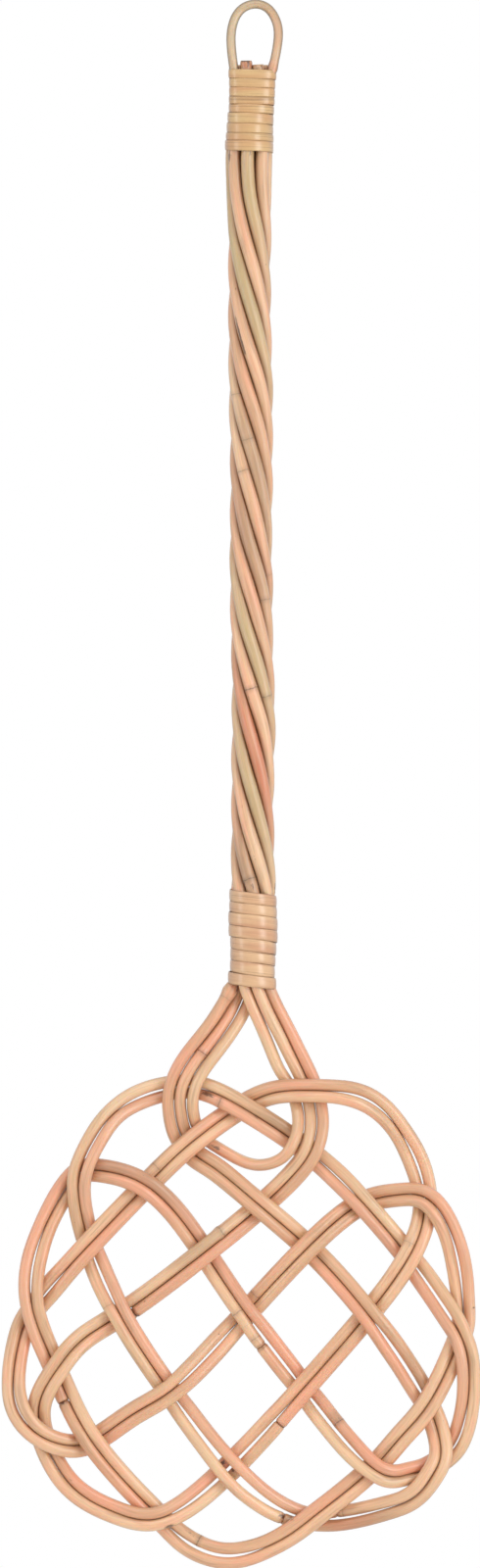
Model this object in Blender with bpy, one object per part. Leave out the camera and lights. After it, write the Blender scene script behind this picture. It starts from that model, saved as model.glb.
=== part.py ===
"""Rattan carpet beater: canes woven into one flat looped knot, then twisted into a handle.

Two canes lie side by side and weave one continuous knot, over and under by turns, which starts
as the left leg of the neck and ends as the right leg. A third cane comes down the left leg, turns
round a small teardrop and goes back up the right leg. The six cane ends pass through the neck
binding, twist with one filler cane round a core and end at the top binding, which also
holds the hanging loop.

The beater hangs by its loop: +Z is up, the face looks along -Y, X runs to the viewer's right, and
the origin is the inside top of the loop, on the handle's axis.
"""

import math

import bpy
import numpy as np

MM = 0.001

# Canes, and how closely they lie
CANE_DIAMETER = 6.0 * MM
LOOP_CANE_DIAMETER = 4.6 * MM
CORE_DIAMETER = 6.0 * MM
TOUCH_GAP = 0.3 * MM
SPLICE_GAP = 0.3 * MM

# Lengths down the beater, and the head's width
LOOP_EYE_HEIGHT = 29.9 * MM
LOOP_BEND_WIDTH = 23.0 * MM
TOP_BINDING_LENGTH = 43.2 * MM
HANDLE_LENGTH = 364.5 * MM
NECK_BINDING_LENGTH = 50.4 * MM
HEAD_HEIGHT = 288.1 * MM
HEAD_WIDTH = 237.6 * MM

# The handle: seven canes twist round the core, and six of them close up in the top binding
HANDLE_CANES = 7
TOP_CANES = 6
HANDLE_TURNS = 2.0
TWIST_EASE_LENGTH = 46.0 * MM
NECK_END_RATE_SHARE = 0.2
FIRST_CANE_NECK_ANGLE = math.radians(60)
TOP_SLOT_ANGLE = math.radians(30)
CROWD_LENGTH = 20.0 * MM
CANE_END_RISE = 1.7 * MM
TALL_CANE_END_RISE = 3.7 * MM
TALL_CANE = 1
FILLER_CANE = 6
FILLER_TUCK_LENGTH = 4.0 * MM
FILLER_NECK_SHARE = 0.8
CORE_NECK_SHARE = 0.75
LEG_ENTRY_LENGTH = 8.0 * MM
LEG_BLEND_LENGTH = 9.0 * MM

# The handle isn't quite straight: shares of its length from the top, with how far its canes lie
# to the right there, as a share of a cane's diameter, and how much wider apart they lie
HANDLE_SWAY_SHARES = (
    (0.0, -0.28, 0.16), (0.03, -0.30, 0.11), (0.08, -0.21, 0.05), (0.15, -0.23, 0.0),
    (0.24, -0.20, 0.02), (0.32, -0.11, 0.06), (0.39, -0.07, 0.02), (0.47, -0.06, 0.0),
    (0.53, -0.13, 0.0), (0.59, -0.06, 0.03), (0.64, -0.06, 0.0), (0.71, 0.06, 0.0),
    (0.78, 0.13, 0.05), (0.84, 0.04, 0.02), (0.90, 0.02, 0.0), (1.0, 0.09, 0.08),
)

# The hanging loop's legs lie in the front corners of the top binding
LOOP_TUCK_LENGTH = 17.0 * MM
LOOP_LEG_ANGLE = math.radians(60)
LOOP_LEG_STEPS = 3

# The bindings: each is one flat strip, wound once down its length
TOP_TURNS = 9
NECK_TURNS = 8
STRIP_THICKNESS = 0.9 * MM
STRIP_TURN_GAP = 0.7 * MM
STRIP_SHOULDER_SHARE = 0.6
STRIP_CROWN_SHARE = 0.5
POINTS_PER_TURN = 20
STRIP_LEVELS = 3

# How finely the canes are drawn
HEAD_STEP = 12.5 * MM
HEAD_STEP_TURN = math.radians(30)
HANDLE_STEP = 11.5 * MM
CROWD_STEPS = 6
LOOP_STEP = 5.0 * MM
TUBE_RESOLUTION = 2
CURVE_STEPS = 16

# How the woven canes settle on each other
CROSSING_FLAT_LENGTH = 9.0 * MM
SETTLE_ROUNDS = 500
CLEAR_ROUNDS = 500
EASE_SHARE = 0.05
PUSH_SHARE = 0.45
SIDE_CONTACT_SINE = 0.42
CONTACT_MARGIN_SHARE = 0.002
PARALLEL_SHARE = 1e-9

# Places of the crossings, as shares of the head's width to the right of the handle's axis and
# of the head's height below the neck binding
CROSSING_SHARES = {
    1: (-0.159, 0.169), 2: (-0.134, 0.269), 3: (0.018, 0.374), 4: (0.116, 0.445),
    5: (0.243, 0.560), 6: (0.367, 0.716), 7: (0.391, 0.816), 8: (0.120, 0.915),
    9: (-0.048, 0.827), 10: (-0.173, 0.694), 11: (-0.276, 0.562), 12: (-0.341, 0.440),
    13: (-0.360, 0.316), 14: (-0.022, 0.203), 15: (0.119, 0.281), 16: (0.232, 0.369),
    17: (0.327, 0.462), 18: (0.436, 0.597), 19: (0.253, 0.826), 20: (0.106, 0.689),
    21: (-0.013, 0.560), 22: (-0.101, 0.454), 23: (-0.222, 0.338), 24: (-0.459, 0.553),
    25: (-0.411, 0.658), 26: (-0.335, 0.780), 27: (-0.194, 0.912), 28: (0.362, 0.359),
    29: (-0.439, 0.772), 30: (0.122, 0.174),
}

# The pair's way through the knot: a number is a crossing, and a pair of shares, measured as
# above, is a point on the bend between two crossings
PAIR_ROUTE_SHARES = (
    (-0.045, 0.003), (-0.078, 0.065), 1, 2, (-0.088, 0.303), 3, 4, 5, 6,
    (0.393, 0.775), 7, (0.329, 0.876), (0.244, 0.904), 8, (0.028, 0.883), 9, 10, 11, 12,
    (-0.362, 0.364), 13, (-0.337, 0.270), (-0.275, 0.204), 1, (-0.097, 0.173), 14, 15, 16, 17,
    (0.382, 0.525), 18, (0.452, 0.649), (0.451, 0.718), (0.428, 0.785), 7, (0.324, 0.841), 19,
    20, 21, 22, 23, (-0.322, 0.312), 13, (-0.415, 0.376), (-0.457, 0.467), 24, 25, 26, 27,
    (-0.138, 0.954), (-0.049, 0.978), (0.062, 0.948), 8, 19, (0.311, 0.772), 6, 18,
    (0.443, 0.569), (0.439, 0.511), (0.415, 0.421), 28, (0.304, 0.355), 16, 4, 21, 10,
    (-0.239, 0.727), 26, (-0.384, 0.788), 29, (-0.482, 0.737), (-0.500, 0.682),
    (-0.485, 0.594), 24, 12, 23, 2, 14, (0.045, 0.178), 30, (0.224, 0.184), (0.303, 0.237),
    28, 17, 5, 20, 9, 27, (-0.290, 0.901), (-0.382, 0.856), 29, (-0.445, 0.713), 25, (-0.363, 0.609),
    11, 22, 3, 15, (0.134, 0.211), 30, (0.112, 0.150), (0.022, 0.003),
)

# The third cane's way, each point with its side there: 1 in front, -1 behind, 0 between
TEARDROP_ROUTE_SHARES = (
    (-0.018, 0.040, 0), (-0.055, 0.085, 0), (-0.103, 0.139, 0), (-0.124, 0.174, 1),
    (-0.131, 0.208, 0), (-0.112, 0.256, -1), (-0.055, 0.284, 0), (0.011, 0.303, 0),
    (0.066, 0.289, 0), (0.089, 0.267, 1), (0.097, 0.230, 0), (0.093, 0.192, 0),
    (0.087, 0.174, -1), (0.065, 0.150, 0), (0.025, 0.073, 0),
)

# Where the paired canes part and daylight shows between them: crossings passed so far, with
# the share of the way to the next one, and the gap as a share of the cane's diameter
PAIR_GAP_SHARES = (
    (0.1, 0.08), (0.4, 0.10), (0.7, 0.0), (5.1, 0.0), (5.3, 0.17), (5.8, 0.17), (6.0, 0.0),
    (7.4, 0.0), (7.7, 0.10), (8.0, 0.0), (8.2, 0.12), (8.5, 0.33), (8.85, 0.52), (9.05, 0.40),
    (9.3, 0.25), (9.7, 0.15), (10.0, 0.0), (11.0, 0.0), (11.3, 0.12), (11.7, 0.12), (12.0, 0.0),
    (13.5, 0.0), (13.8, 0.12), (14.0, 0.0), (16.1, 0.0), (16.5, 0.08), (16.9, 0.0), (18.1, 0.0),
    (18.3, 0.14), (18.8, 0.14), (19.0, 0.0), (21.0, 0.0), (21.3, 0.16), (21.8, 0.18),
    (22.0, 0.05), (22.3, 0.16), (22.8, 0.14), (23.0, 0.0), (26.4, 0.0), (26.7, 0.09),
    (27.0, 0.0), (30.1, 0.0), (30.25, 0.17), (30.5, 0.16), (30.7, 0.0), (34.2, 0.0),
    (34.5, 0.10), (34.8, 0.0), (38.1, 0.0), (38.4, 0.11), (38.8, 0.08), (39.0, 0.0),
    (42.1, 0.0), (42.3, 0.10), (42.6, 0.0), (47.1, 0.0), (47.3, 0.10), (47.6, 0.0),
    (47.8, 0.12), (48.0, 0.0), (51.1, 0.0), (51.6, 0.12), (52.0, 0.18), (52.5, 0.15),
    (53.0, 0.0),
)

# Where one length of cane ends and the next begins: crossings passed so far, and the share
# of the way to the next one
STRAND_A_SPLICE_SHARES = ((7, 0.79), (28, 0.37), (56, 0.16))
STRAND_B_SPLICE_SHARES = ((8, 0.27), (22, 0.73), (51, 0.42))

# The loop's bend, from the left foot over the top to the right foot: shares of its width to
# the right of the handle's axis and of its height above the binding
LOOP_BEND_SHARES = (
    (-0.403, 0.0), (-0.451, 0.305), (-0.449, 0.595), (-0.360, 0.808), (-0.235, 0.925),
    (0.0, 1.0), (0.190, 0.993), (0.330, 0.945), (0.455, 0.835), (0.561, 0.630),
    (0.561, 0.454), (0.534, 0.305), (0.443, 0.0),
)

# Colours and gloss of the pieces
PIECE_COLOURS = {
    "strand_a_cane_1": "#E7B889", "strand_a_cane_2": "#EBC08F", "strand_a_cane_3": "#E3B27E",
    "strand_a_cane_4": "#E9AE84", "strand_b_cane_1": "#E2B587", "strand_b_cane_2": "#EDC495",
    "strand_b_cane_3": "#E6B683", "strand_b_cane_4": "#DDB285", "teardrop_cane": "#E0BC8E",
    "handle_filler_cane": "#E6BC8C", "handle_core": "#D8BE94", "hanging_loop": "#DDBB92",
    "top_binding": "#DDBB84", "neck_binding": "#D9B185",
}
CANE_ROUGHNESS = 0.42
STRIP_ROUGHNESS = 0.3

# Heights of the main stations, and spacings that follow from the sizes above
CANE_SPACING = CANE_DIAMETER + TOUCH_GAP
TOP_BINDING_TOP = -LOOP_EYE_HEIGHT
TOP_BINDING_FOOT = TOP_BINDING_TOP - TOP_BINDING_LENGTH
NECK_BINDING_TOP = TOP_BINDING_FOOT - HANDLE_LENGTH
NECK_BINDING_FOOT = NECK_BINDING_TOP - NECK_BINDING_LENGTH
TWIST_RATE = 2 * math.pi * HANDLE_TURNS / (HANDLE_LENGTH - TWIST_EASE_LENGTH / 2)


def clear_scene():
    """Removes what the file starts with."""
    for scene_object in list(bpy.data.objects):
        bpy.data.objects.remove(scene_object, do_unlink=True)


def linear_colour(code):
    """The linear colour of a hex code."""
    channels = [int(code[place:place + 2], 16) / 255 for place in (1, 3, 5)]
    linear = [value / 12.92 if value <= 0.04045 else ((value + 0.055) / 1.055) ** 2.4
              for value in channels]
    return (*linear, 1)


def rattan_material(name, roughness):
    """A plain rattan material in the piece's own colour."""
    material = bpy.data.materials.new(name)
    material.use_nodes = True
    shader = material.node_tree.nodes["Principled BSDF"]
    shader.inputs["Base Color"].default_value = linear_colour(PIECE_COLOURS[name])
    shader.inputs["Roughness"].default_value = roughness
    shader.inputs["Metallic"].default_value = 0
    return material


def polyline_curve(name, points, cyclic=False):
    """A curve of straight runs through the points."""
    curve = bpy.data.curves.new(name, "CURVE")
    curve.dimensions = "3D"
    spline = curve.splines.new("POLY")
    spline.points.add(len(points) - 1)
    weighted = np.column_stack([points, np.ones(len(points))])
    spline.points.foreach_set("co", weighted.ravel())
    spline.use_cyclic_u = cyclic
    return curve


def add_cane(name, points, diameter, collection):
    """A round cane along the points, with closed ends."""
    curve = polyline_curve(name, points)
    curve.bevel_depth = diameter / 2
    curve.bevel_resolution = TUBE_RESOLUTION
    curve.use_fill_caps = True
    curve.materials.append(rattan_material(name, CANE_ROUGHNESS))
    cane = bpy.data.objects.new(name, curve)
    collection.objects.link(cane)
    return cane


def smooth_curve(knots):
    """Points on the natural cubic curve through the knots, CURVE_STEPS to each span.

    The spans' parameter is the root of their chord, so that close knots make no overshoot.
    """
    knots = np.asarray(knots, dtype=float)
    spans = np.linalg.norm(np.diff(knots, axis=0), axis=1) ** 0.5
    slopes = np.diff(knots, axis=0) / spans[:, None]
    system = np.eye(len(knots))
    bends = np.zeros_like(knots)
    for place in range(1, len(knots) - 1):
        before, after = spans[place - 1], spans[place]
        system[place, place - 1:place + 2] = before, 2 * (before + after), after
        bends[place] = 6 * (slopes[place] - slopes[place - 1])
    bends = np.linalg.solve(system, bends)
    pieces = []
    for place, span in enumerate(spans):
        after = np.linspace(0, span, CURVE_STEPS, endpoint=False)[:, None]
        before = span - after
        pieces.append(
            (bends[place] * before ** 3 + bends[place + 1] * after ** 3) / (6 * span)
            + (knots[place] / span - bends[place] * span / 6) * before
            + (knots[place + 1] / span - bends[place + 1] * span / 6) * after)
    return np.vstack(pieces + [knots[-1:]])


def distance_along(points):
    """How far each point lies along the line through them."""
    steps = np.linalg.norm(np.diff(points, axis=0), axis=1)
    return np.concatenate([[0], np.cumsum(steps)])


def read_along(points, distances):
    """Points at the given distances along a line."""
    along = distance_along(points)
    return np.column_stack([np.interp(distances, along, column) for column in points.T])


def ring_count_along(points):
    """How many rings a cane needs up to each point: more where the line bends."""
    runs = np.diff(points, axis=0)
    headings = np.unwrap(np.arctan2(runs[:, 1], runs[:, 0]))
    turned = np.concatenate([[0], np.cumsum(np.abs(np.diff(headings))), [0]])
    turned[-1] = turned[-2]
    return distance_along(points) / HEAD_STEP + turned / HEAD_STEP_TURN


def ease(share):
    """Goes from 0 to 1 with level ends."""
    share = np.clip(share, 0, 1)
    return share * share * (3 - 2 * share)


def head_point(shares):
    """The place in X and Z of a pair of shares of the head."""
    return shares[0] * HEAD_WIDTH, NECK_BINDING_FOOT - shares[1] * HEAD_HEIGHT


def twist_angle(height):
    """The first cane's angle round the handle, from the front towards the right."""
    neck_depth = np.clip(NECK_BINDING_TOP - height, 0, NECK_BINDING_LENGTH)
    slowing = (1 - NECK_END_RATE_SHARE) / (2 * NECK_BINDING_LENGTH)
    neck_turn = TWIST_RATE * (neck_depth - slowing * neck_depth ** 2)
    whole_neck_turn = TWIST_RATE * NECK_BINDING_LENGTH * (1 + NECK_END_RATE_SHARE) / 2
    down = np.clip(TOP_BINDING_FOOT - height, 0, HANDLE_LENGTH)
    eased = np.minimum(down / TWIST_EASE_LENGTH, 1)
    eased_turn = TWIST_EASE_LENGTH * (eased ** 3 - eased ** 4 / 2)
    handle_turn = TWIST_RATE * (eased_turn + np.maximum(down - TWIST_EASE_LENGTH, 0))
    whole_handle_turn = 2 * math.pi * HANDLE_TURNS
    return (FIRST_CANE_NECK_ANGLE - whole_neck_turn - whole_handle_turn
            + handle_turn + neck_turn)


def twisted_ring_radius():
    """The radius at which the twisted canes lie one spacing apart, drawn in straight runs."""
    flat_radius = CANE_SPACING / (2 * math.sin(math.pi / HANDLE_CANES))
    leaning = flat_radius / math.sqrt(1 - (flat_radius * TWIST_RATE) ** 2)
    return leaning / math.cos(TWIST_RATE * HANDLE_STEP / 2)


def closed_ring_radius():
    """The radius of the closed ring of canes round the core in the top binding."""
    by_neighbour = CANE_SPACING / (2 * math.sin(math.pi / TOP_CANES))
    by_core = (CANE_DIAMETER + CORE_DIAMETER) / 2 + TOUCH_GAP
    return max(by_neighbour, by_core)


def top_slot(cane):
    """The angle at which a cane stands in the closed ring, nearest to where it comes from."""
    slot = 2 * math.pi / TOP_CANES
    lead = (HANDLE_CANES - 1) / 2 * (slot - 2 * math.pi / HANDLE_CANES)
    first = twist_angle(TOP_BINDING_FOOT) + lead
    whole_slots = round((first - TOP_SLOT_ANGLE) / slot)
    return TOP_SLOT_ANGLE + slot * (whole_slots - cane)


def handle_sway(height):
    """How far the handle's canes lie to the right at a height, and how many times wider apart.

    It fades out in both bindings, before the loop's legs and before the woven legs begin.
    """
    places, shifts, spreads = np.array(HANDLE_SWAY_SHARES).T
    share = (TOP_BINDING_FOOT - height) / HANDLE_LENGTH
    loop_foot = TOP_BINDING_TOP - LOOP_TUCK_LENGTH
    leg_entry = NECK_BINDING_FOOT + LEG_ENTRY_LENGTH
    entering = ease((loop_foot - height) / (loop_foot - TOP_BINDING_FOOT))
    leaving = ease((height - leg_entry) / (NECK_BINDING_TOP - leg_entry))
    held = entering * leaving
    shift = held * np.interp(share, places, shifts) * CANE_DIAMETER
    return shift, 1 + held * np.interp(share, places, spreads)


def handle_point(cane, height):
    """Where a cane's centre lies at a height of the handle or of its bindings."""
    turned = twist_angle(height) - 2 * math.pi * cane / HANDLE_CANES
    crowd_start = TOP_BINDING_FOOT + FILLER_TUCK_LENGTH
    closing = 0 if cane == FILLER_CANE else ease((height - crowd_start) / CROWD_LENGTH)
    angle = turned + closing * (top_slot(cane) - turned)
    radius = twisted_ring_radius()
    radius += closing * (closed_ring_radius() - radius)
    shift, spread = handle_sway(height)
    return shift + spread * radius * math.sin(angle), -radius * math.cos(angle), height


def handle_heights():
    """The heights at which the handle's canes are drawn, from the top down to the legs."""
    crowd_foot = TOP_BINDING_FOOT + FILLER_TUCK_LENGTH
    leg_entry = NECK_BINDING_FOOT + LEG_ENTRY_LENGTH
    crowd = np.linspace(crowd_foot + CROWD_LENGTH, crowd_foot, CROWD_STEPS + 1)
    steps = math.ceil((crowd_foot - leg_entry) / HANDLE_STEP)
    twist = np.linspace(crowd_foot, leg_entry, steps + 1)
    return np.concatenate([crowd, twist[1:]])


def handle_run(cane):
    """A cane's points from its cut end above the top binding down to the legs."""
    rise = TALL_CANE_END_RISE if cane == TALL_CANE else CANE_END_RISE
    heights = np.concatenate([[TOP_BINDING_TOP + rise], handle_heights()])
    return np.array([handle_point(cane, height) for height in heights])


def filler_run():
    """The filler cane's points, from inside the top binding to inside the neck binding."""
    top = TOP_BINDING_FOOT + FILLER_TUCK_LENGTH - TOUCH_GAP
    foot = NECK_BINDING_TOP - FILLER_NECK_SHARE * NECK_BINDING_LENGTH
    inner = [height for height in handle_heights() if foot < height < top]
    return np.array([handle_point(FILLER_CANE, height) for height in [top, *inner, foot]])


def core_run():
    """The core's points, from its cut end above the top binding to inside the neck binding."""
    foot = NECK_BINDING_TOP - CORE_NECK_SHARE * NECK_BINDING_LENGTH
    inner = [height for height in handle_heights() if height > foot + HANDLE_STEP / 2]
    heights = [TOP_BINDING_TOP + CANE_END_RISE, *inner, foot]
    return np.array([(handle_sway(height)[0], 0, height) for height in heights])


def route_places():
    """The pair's guide points, and which of them are crossings."""
    places = []
    crossings = []
    for stop in PAIR_ROUTE_SHARES:
        if isinstance(stop, int):
            crossings.append(len(places))
            places.append(head_point(CROSSING_SHARES[stop]))
        else:
            places.append(head_point(stop))
    return np.array(places), np.array(crossings)


def pair_centre_line():
    """Points midway between the paired canes, and where along them the crossings lie."""
    places, crossings = route_places()
    dense = smooth_curve(places)
    along = distance_along(dense)
    bounds = np.concatenate([[0], along[crossings * CURVE_STEPS], [along[-1]]])
    rings = ring_count_along(dense)
    distances = [np.zeros(1)]
    for near, far in zip(bounds[:-1], bounds[1:]):
        first, last = np.interp([near, far], along, rings)
        steps = max(1, round(last - first))
        even = np.linspace(first, last, steps + 1)[1:]
        distances.append(np.interp(even, rings, along))
    distances = np.concatenate(distances)
    return read_along(dense, distances), distances, bounds


def pair_gaps(progress):
    """How wide the paired canes part at each point's progress past the crossings."""
    places, shares = np.array(PAIR_GAP_SHARES).T
    return np.interp(progress, places, shares) * CANE_DIAMETER


def beside(centre, side, gaps):
    """A line beside the pair's centre line: side 1 is on the traveller's right."""
    ahead = np.vstack([centre[1:], 2 * centre[-1] - centre[-2]])
    behind = np.vstack([2 * centre[0] - centre[1], centre[:-1]])
    into = centre - behind
    onward = ahead - centre
    into /= np.linalg.norm(into, axis=1)[:, None]
    onward /= np.linalg.norm(onward, axis=1)[:, None]
    middle = into + onward
    middle /= np.linalg.norm(middle, axis=1)[:, None]
    across = np.column_stack([middle[:, 1], -middle[:, 0]])
    widening = np.sum(middle * onward, axis=1)[:, None]
    return centre + side * across * (CANE_SPACING + gaps)[:, None] / 2 / widening


def woven_depths(distances, bounds, start_depth, end_depth):
    """How far back each point lies: in front at the first crossing, behind at the next."""
    sides = [1 if place % 2 else -1 for place in range(len(bounds) - 2)]
    levels = [start_depth, *(side * CANE_SPACING / 2 for side in sides), end_depth]
    depths = np.empty(len(distances))
    span = np.clip(np.searchsorted(bounds, distances, side="right") - 1, 0, len(bounds) - 2)
    for place, distance in enumerate(distances):
        near, far = bounds[span[place]], bounds[span[place] + 1]
        flat = min(CROSSING_FLAT_LENGTH, (far - near) / 3)
        share = ease((distance - near - flat) / (far - near - 2 * flat))
        depths[place] = levels[span[place]] + share * (levels[span[place] + 1] - levels[span[place]])
    return depths


def bridge_between(first, second):
    """The inner points of a smooth curve from the end of one line to the start of the next."""
    curve = smooth_curve(np.vstack([first[-3:], second[:3]]))
    curve = curve[2 * CURVE_STEPS:3 * CURVE_STEPS + 1]
    length = distance_along(curve)[-1]
    steps = max(2, round(length / HEAD_STEP))
    return read_along(curve, np.linspace(0, length, steps + 1)[1:-1])


def join_legs(upper, woven, lower):
    """One line from the handle, round the head and back, with smooth curves at the neck.

    Also gives each point's number among the woven points, or -1 where it is none of them.
    """
    kept = np.flatnonzero(woven[:, 2] < NECK_BINDING_FOOT - LEG_BLEND_LENGTH)
    kept = np.arange(kept[0], kept[-1] + 1)
    inner = woven[kept]
    first_bridge = bridge_between(upper, inner)
    last_bridge = bridge_between(inner, lower)
    line = np.vstack([upper, first_bridge, inner, last_bridge, lower])
    numbers = np.full(len(line), -1)
    start = len(upper) + len(first_bridge)
    numbers[start:start + len(kept)] = kept
    return line, numbers


def pair_strand(side, first_cane, last_cane):
    """One of the paired strands, and its progress past the crossings: -1 outside the head."""
    centre, distances, bounds = pair_centre_line()
    progress = np.interp(distances, bounds, np.arange(len(bounds)))
    plan = beside(centre, side, pair_gaps(progress))
    upper, lower = handle_run(first_cane), handle_run(last_cane)[::-1]
    depths = woven_depths(distances, bounds, upper[-1, 1], lower[0, 1])
    woven = np.column_stack([plan[:, 0], depths, plan[:, 1]])
    line, numbers = join_legs(upper, woven, lower)
    return line, np.where(numbers >= 0, progress[numbers], -1)


def teardrop_strand(first_cane, last_cane):
    """The third cane, down the left leg, round the teardrop and up the right leg."""
    upper, lower = handle_run(first_cane), handle_run(last_cane)[::-1]
    places = np.array([head_point(stop) for stop in TEARDROP_ROUTE_SHARES])
    dense = smooth_curve(places)
    along = distance_along(dense)
    sides = [(0, upper[-1, 1])]
    for place, stop in enumerate(TEARDROP_ROUTE_SHARES):
        if stop[2]:
            sides.append((along[place * CURVE_STEPS], -stop[2] * CANE_SPACING / 2))
    sides.append((along[-1], lower[0, 1]))
    rings = ring_count_along(dense)
    even = np.linspace(0, rings[-1], round(rings[-1]) + 1)
    distances = np.interp(even, rings, along)
    plan = read_along(dense, distances)
    depths = np.empty(len(distances))
    for (near, near_depth), (far, far_depth) in zip(sides[:-1], sides[1:]):
        inside = (distances >= near) & (distances <= far)
        share = ease((distances[inside] - near) / (far - near))
        depths[inside] = near_depth + share * (far_depth - near_depth)
    woven = np.column_stack([plan[:, 0], depths, plan[:, 1]])
    return join_legs(upper, woven, lower)[0]


def nearest_places(start_a, run_a, start_b, run_b):
    """Shares along pairs of straight runs at which they come nearest to each other."""
    aa = np.sum(run_a * run_a, axis=1)
    ab = np.sum(run_a * run_b, axis=1)
    bb = np.sum(run_b * run_b, axis=1)
    between = start_a - start_b
    a_gap = np.sum(run_a * between, axis=1)
    b_gap = np.sum(run_b * between, axis=1)
    spread = np.maximum(aa * bb - ab * ab, PARALLEL_SHARE * aa * bb)
    share_a = np.clip((ab * b_gap - bb * a_gap) / spread, 0, 1)
    share_b = np.clip((ab * share_a + b_gap) / bb, 0, 1)
    share_a = np.clip((ab * share_b - a_gap) / aa, 0, 1)
    return share_a, share_b


class Weave:
    """The woven lines as one set of points whose straight runs keep clear of each other."""

    def __init__(self, lines, first_free_height):
        self.points = np.vstack(lines)
        self.sizes = [len(line) for line in lines]
        line_of_point = np.repeat(np.arange(len(lines)), self.sizes)
        self.free = self.points[:, 2] < first_free_height
        starts = np.flatnonzero(line_of_point[:-1] == line_of_point[1:])
        self.bend_middles = np.flatnonzero(
            (line_of_point[:-4] == line_of_point[4:]) & self.free[2:-2]) + 2
        self.find_contacts(starts, line_of_point)

    def find_contacts(self, starts, line_of_point):
        """Keeps the pairs of runs that come near each other, and which lies in front."""
        middles = (self.points[starts] + self.points[starts + 1]) / 2
        lengths = np.linalg.norm(self.points[starts + 1] - self.points[starts], axis=1)
        first, second = np.triu_indices(len(starts), 2)
        apart = np.linalg.norm((middles[first] - middles[second])[:, ::2], axis=1)
        near = apart < CANE_SPACING + (lengths[first] + lengths[second]) / 2
        same = line_of_point[starts[first]] == line_of_point[starts[second]]
        neighbours = same & (starts[second] - starts[first] < 3)
        keep = near & ~neighbours
        self.run_a, self.run_b = starts[first[keep]], starts[second[keep]]
        run_a, run_b = self.runs()
        plan_a, plan_b = run_a[:, ::2], run_b[:, ::2]
        cross = plan_a[:, 0] * plan_b[:, 1] - plan_a[:, 1] * plan_b[:, 0]
        sizes = np.linalg.norm(plan_a, axis=1) * np.linalg.norm(plan_b, axis=1)
        depth_gaps = self.gaps()[0][:, 1]
        self.front = np.sign(depth_gaps)
        level = np.abs(depth_gaps) < CANE_SPACING / 2
        self.beside = level | (np.abs(cross) < SIDE_CONTACT_SINE * sizes)

    def runs(self):
        """The straight runs of the contact pairs."""
        run_a = self.points[self.run_a + 1] - self.points[self.run_a]
        run_b = self.points[self.run_b + 1] - self.points[self.run_b]
        return run_a, run_b

    def gaps(self):
        """From the second run's nearest point to the first's, and the shares along both."""
        run_a, run_b = self.runs()
        start_a, start_b = self.points[self.run_a], self.points[self.run_b]
        share_a, share_b = nearest_places(start_a, run_a, start_b, run_b)
        between = start_a + share_a[:, None] * run_a - start_b - share_b[:, None] * run_b
        return between, share_a, share_b

    def push_apart(self, wanted):
        """Moves runs that are too near: apart in depth at a crossing, and directly beside."""
        between, share_a, share_b = self.gaps()
        distance = np.linalg.norm(between, axis=1)
        in_plan = np.hypot(between[:, 0], between[:, 2])
        depth_needed = np.sqrt(np.maximum(wanted ** 2 - in_plan ** 2, 0))
        depth_short = depth_needed - self.front * between[:, 1]
        push = np.zeros_like(between)
        crossing = ~self.beside & (depth_short > 0) & (in_plan < wanted)
        push[crossing, 1] = (self.front * depth_short)[crossing]
        close = self.beside & (distance < wanted)
        short = (wanted / np.maximum(distance, TOUCH_GAP) - 1)[close, None]
        push[close] = between[close] * short
        moved = np.zeros_like(self.points)
        weight = np.zeros(len(self.points))
        active = crossing | close
        for run, share, sign in ((self.run_a, share_a, 1), (self.run_b, share_b, -1)):
            for end, part in ((0, 1 - share), (1, share)):
                place = run[active] + end
                np.add.at(moved, place, sign * push[active] * part[active, None])
                np.add.at(weight, place, part[active])
        moved /= np.maximum(weight, 1)[:, None]
        self.points[self.free] += PUSH_SHARE * moved[self.free]

    def ease_bends(self):
        """Evens out how the canes bend in depth, as springy cane does."""
        depth = self.points[:, 1]
        middle = self.bend_middles
        bend = (depth[middle - 2] - 4 * depth[middle - 1] + 6 * depth[middle]
                - 4 * depth[middle + 1] + depth[middle + 2])
        depth[middle] -= EASE_SHARE * bend

    def least_gap(self):
        """The least distance between the centre lines of two runs."""
        return np.min(np.linalg.norm(self.gaps()[0], axis=1))

    def settle(self):
        """Lets the canes ease and press on each other, and then clears what is left."""
        wanted = CANE_SPACING * (1 + CONTACT_MARGIN_SHARE)
        for _ in range(SETTLE_ROUNDS):
            self.ease_bends()
            self.push_apart(wanted)
        for _ in range(CLEAR_ROUNDS):
            self.push_apart(wanted)

    def lines(self):
        """The settled lines, one after another."""
        return np.split(self.points, np.cumsum(self.sizes)[:-1])


def cut_lengths(line, marks, splices):
    """The line cut into lengths of cane, a small gap apart at each splice.

    Each cut is in the middle of a straight run, so that the two ends face each other squarely.
    """
    along = distance_along(line)
    woven = marks >= 0
    wanted = [np.interp(passed + share, marks[woven], along[woven]) for passed, share in splices]
    run_ends = np.searchsorted(along, wanted)
    cuts = (along[run_ends - 1] + along[run_ends]) / 2
    bounds = [0, *cuts, along[-1]]
    lengths = []
    for near, far in zip(bounds[:-1], bounds[1:]):
        start = near + (SPLICE_GAP / 2 if near else 0)
        end = far - (SPLICE_GAP / 2 if far < along[-1] else 0)
        inner = along[(along > start) & (along < end)]
        lengths.append(read_along(line, np.concatenate([[start], inner, [end]])))
    return lengths


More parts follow.
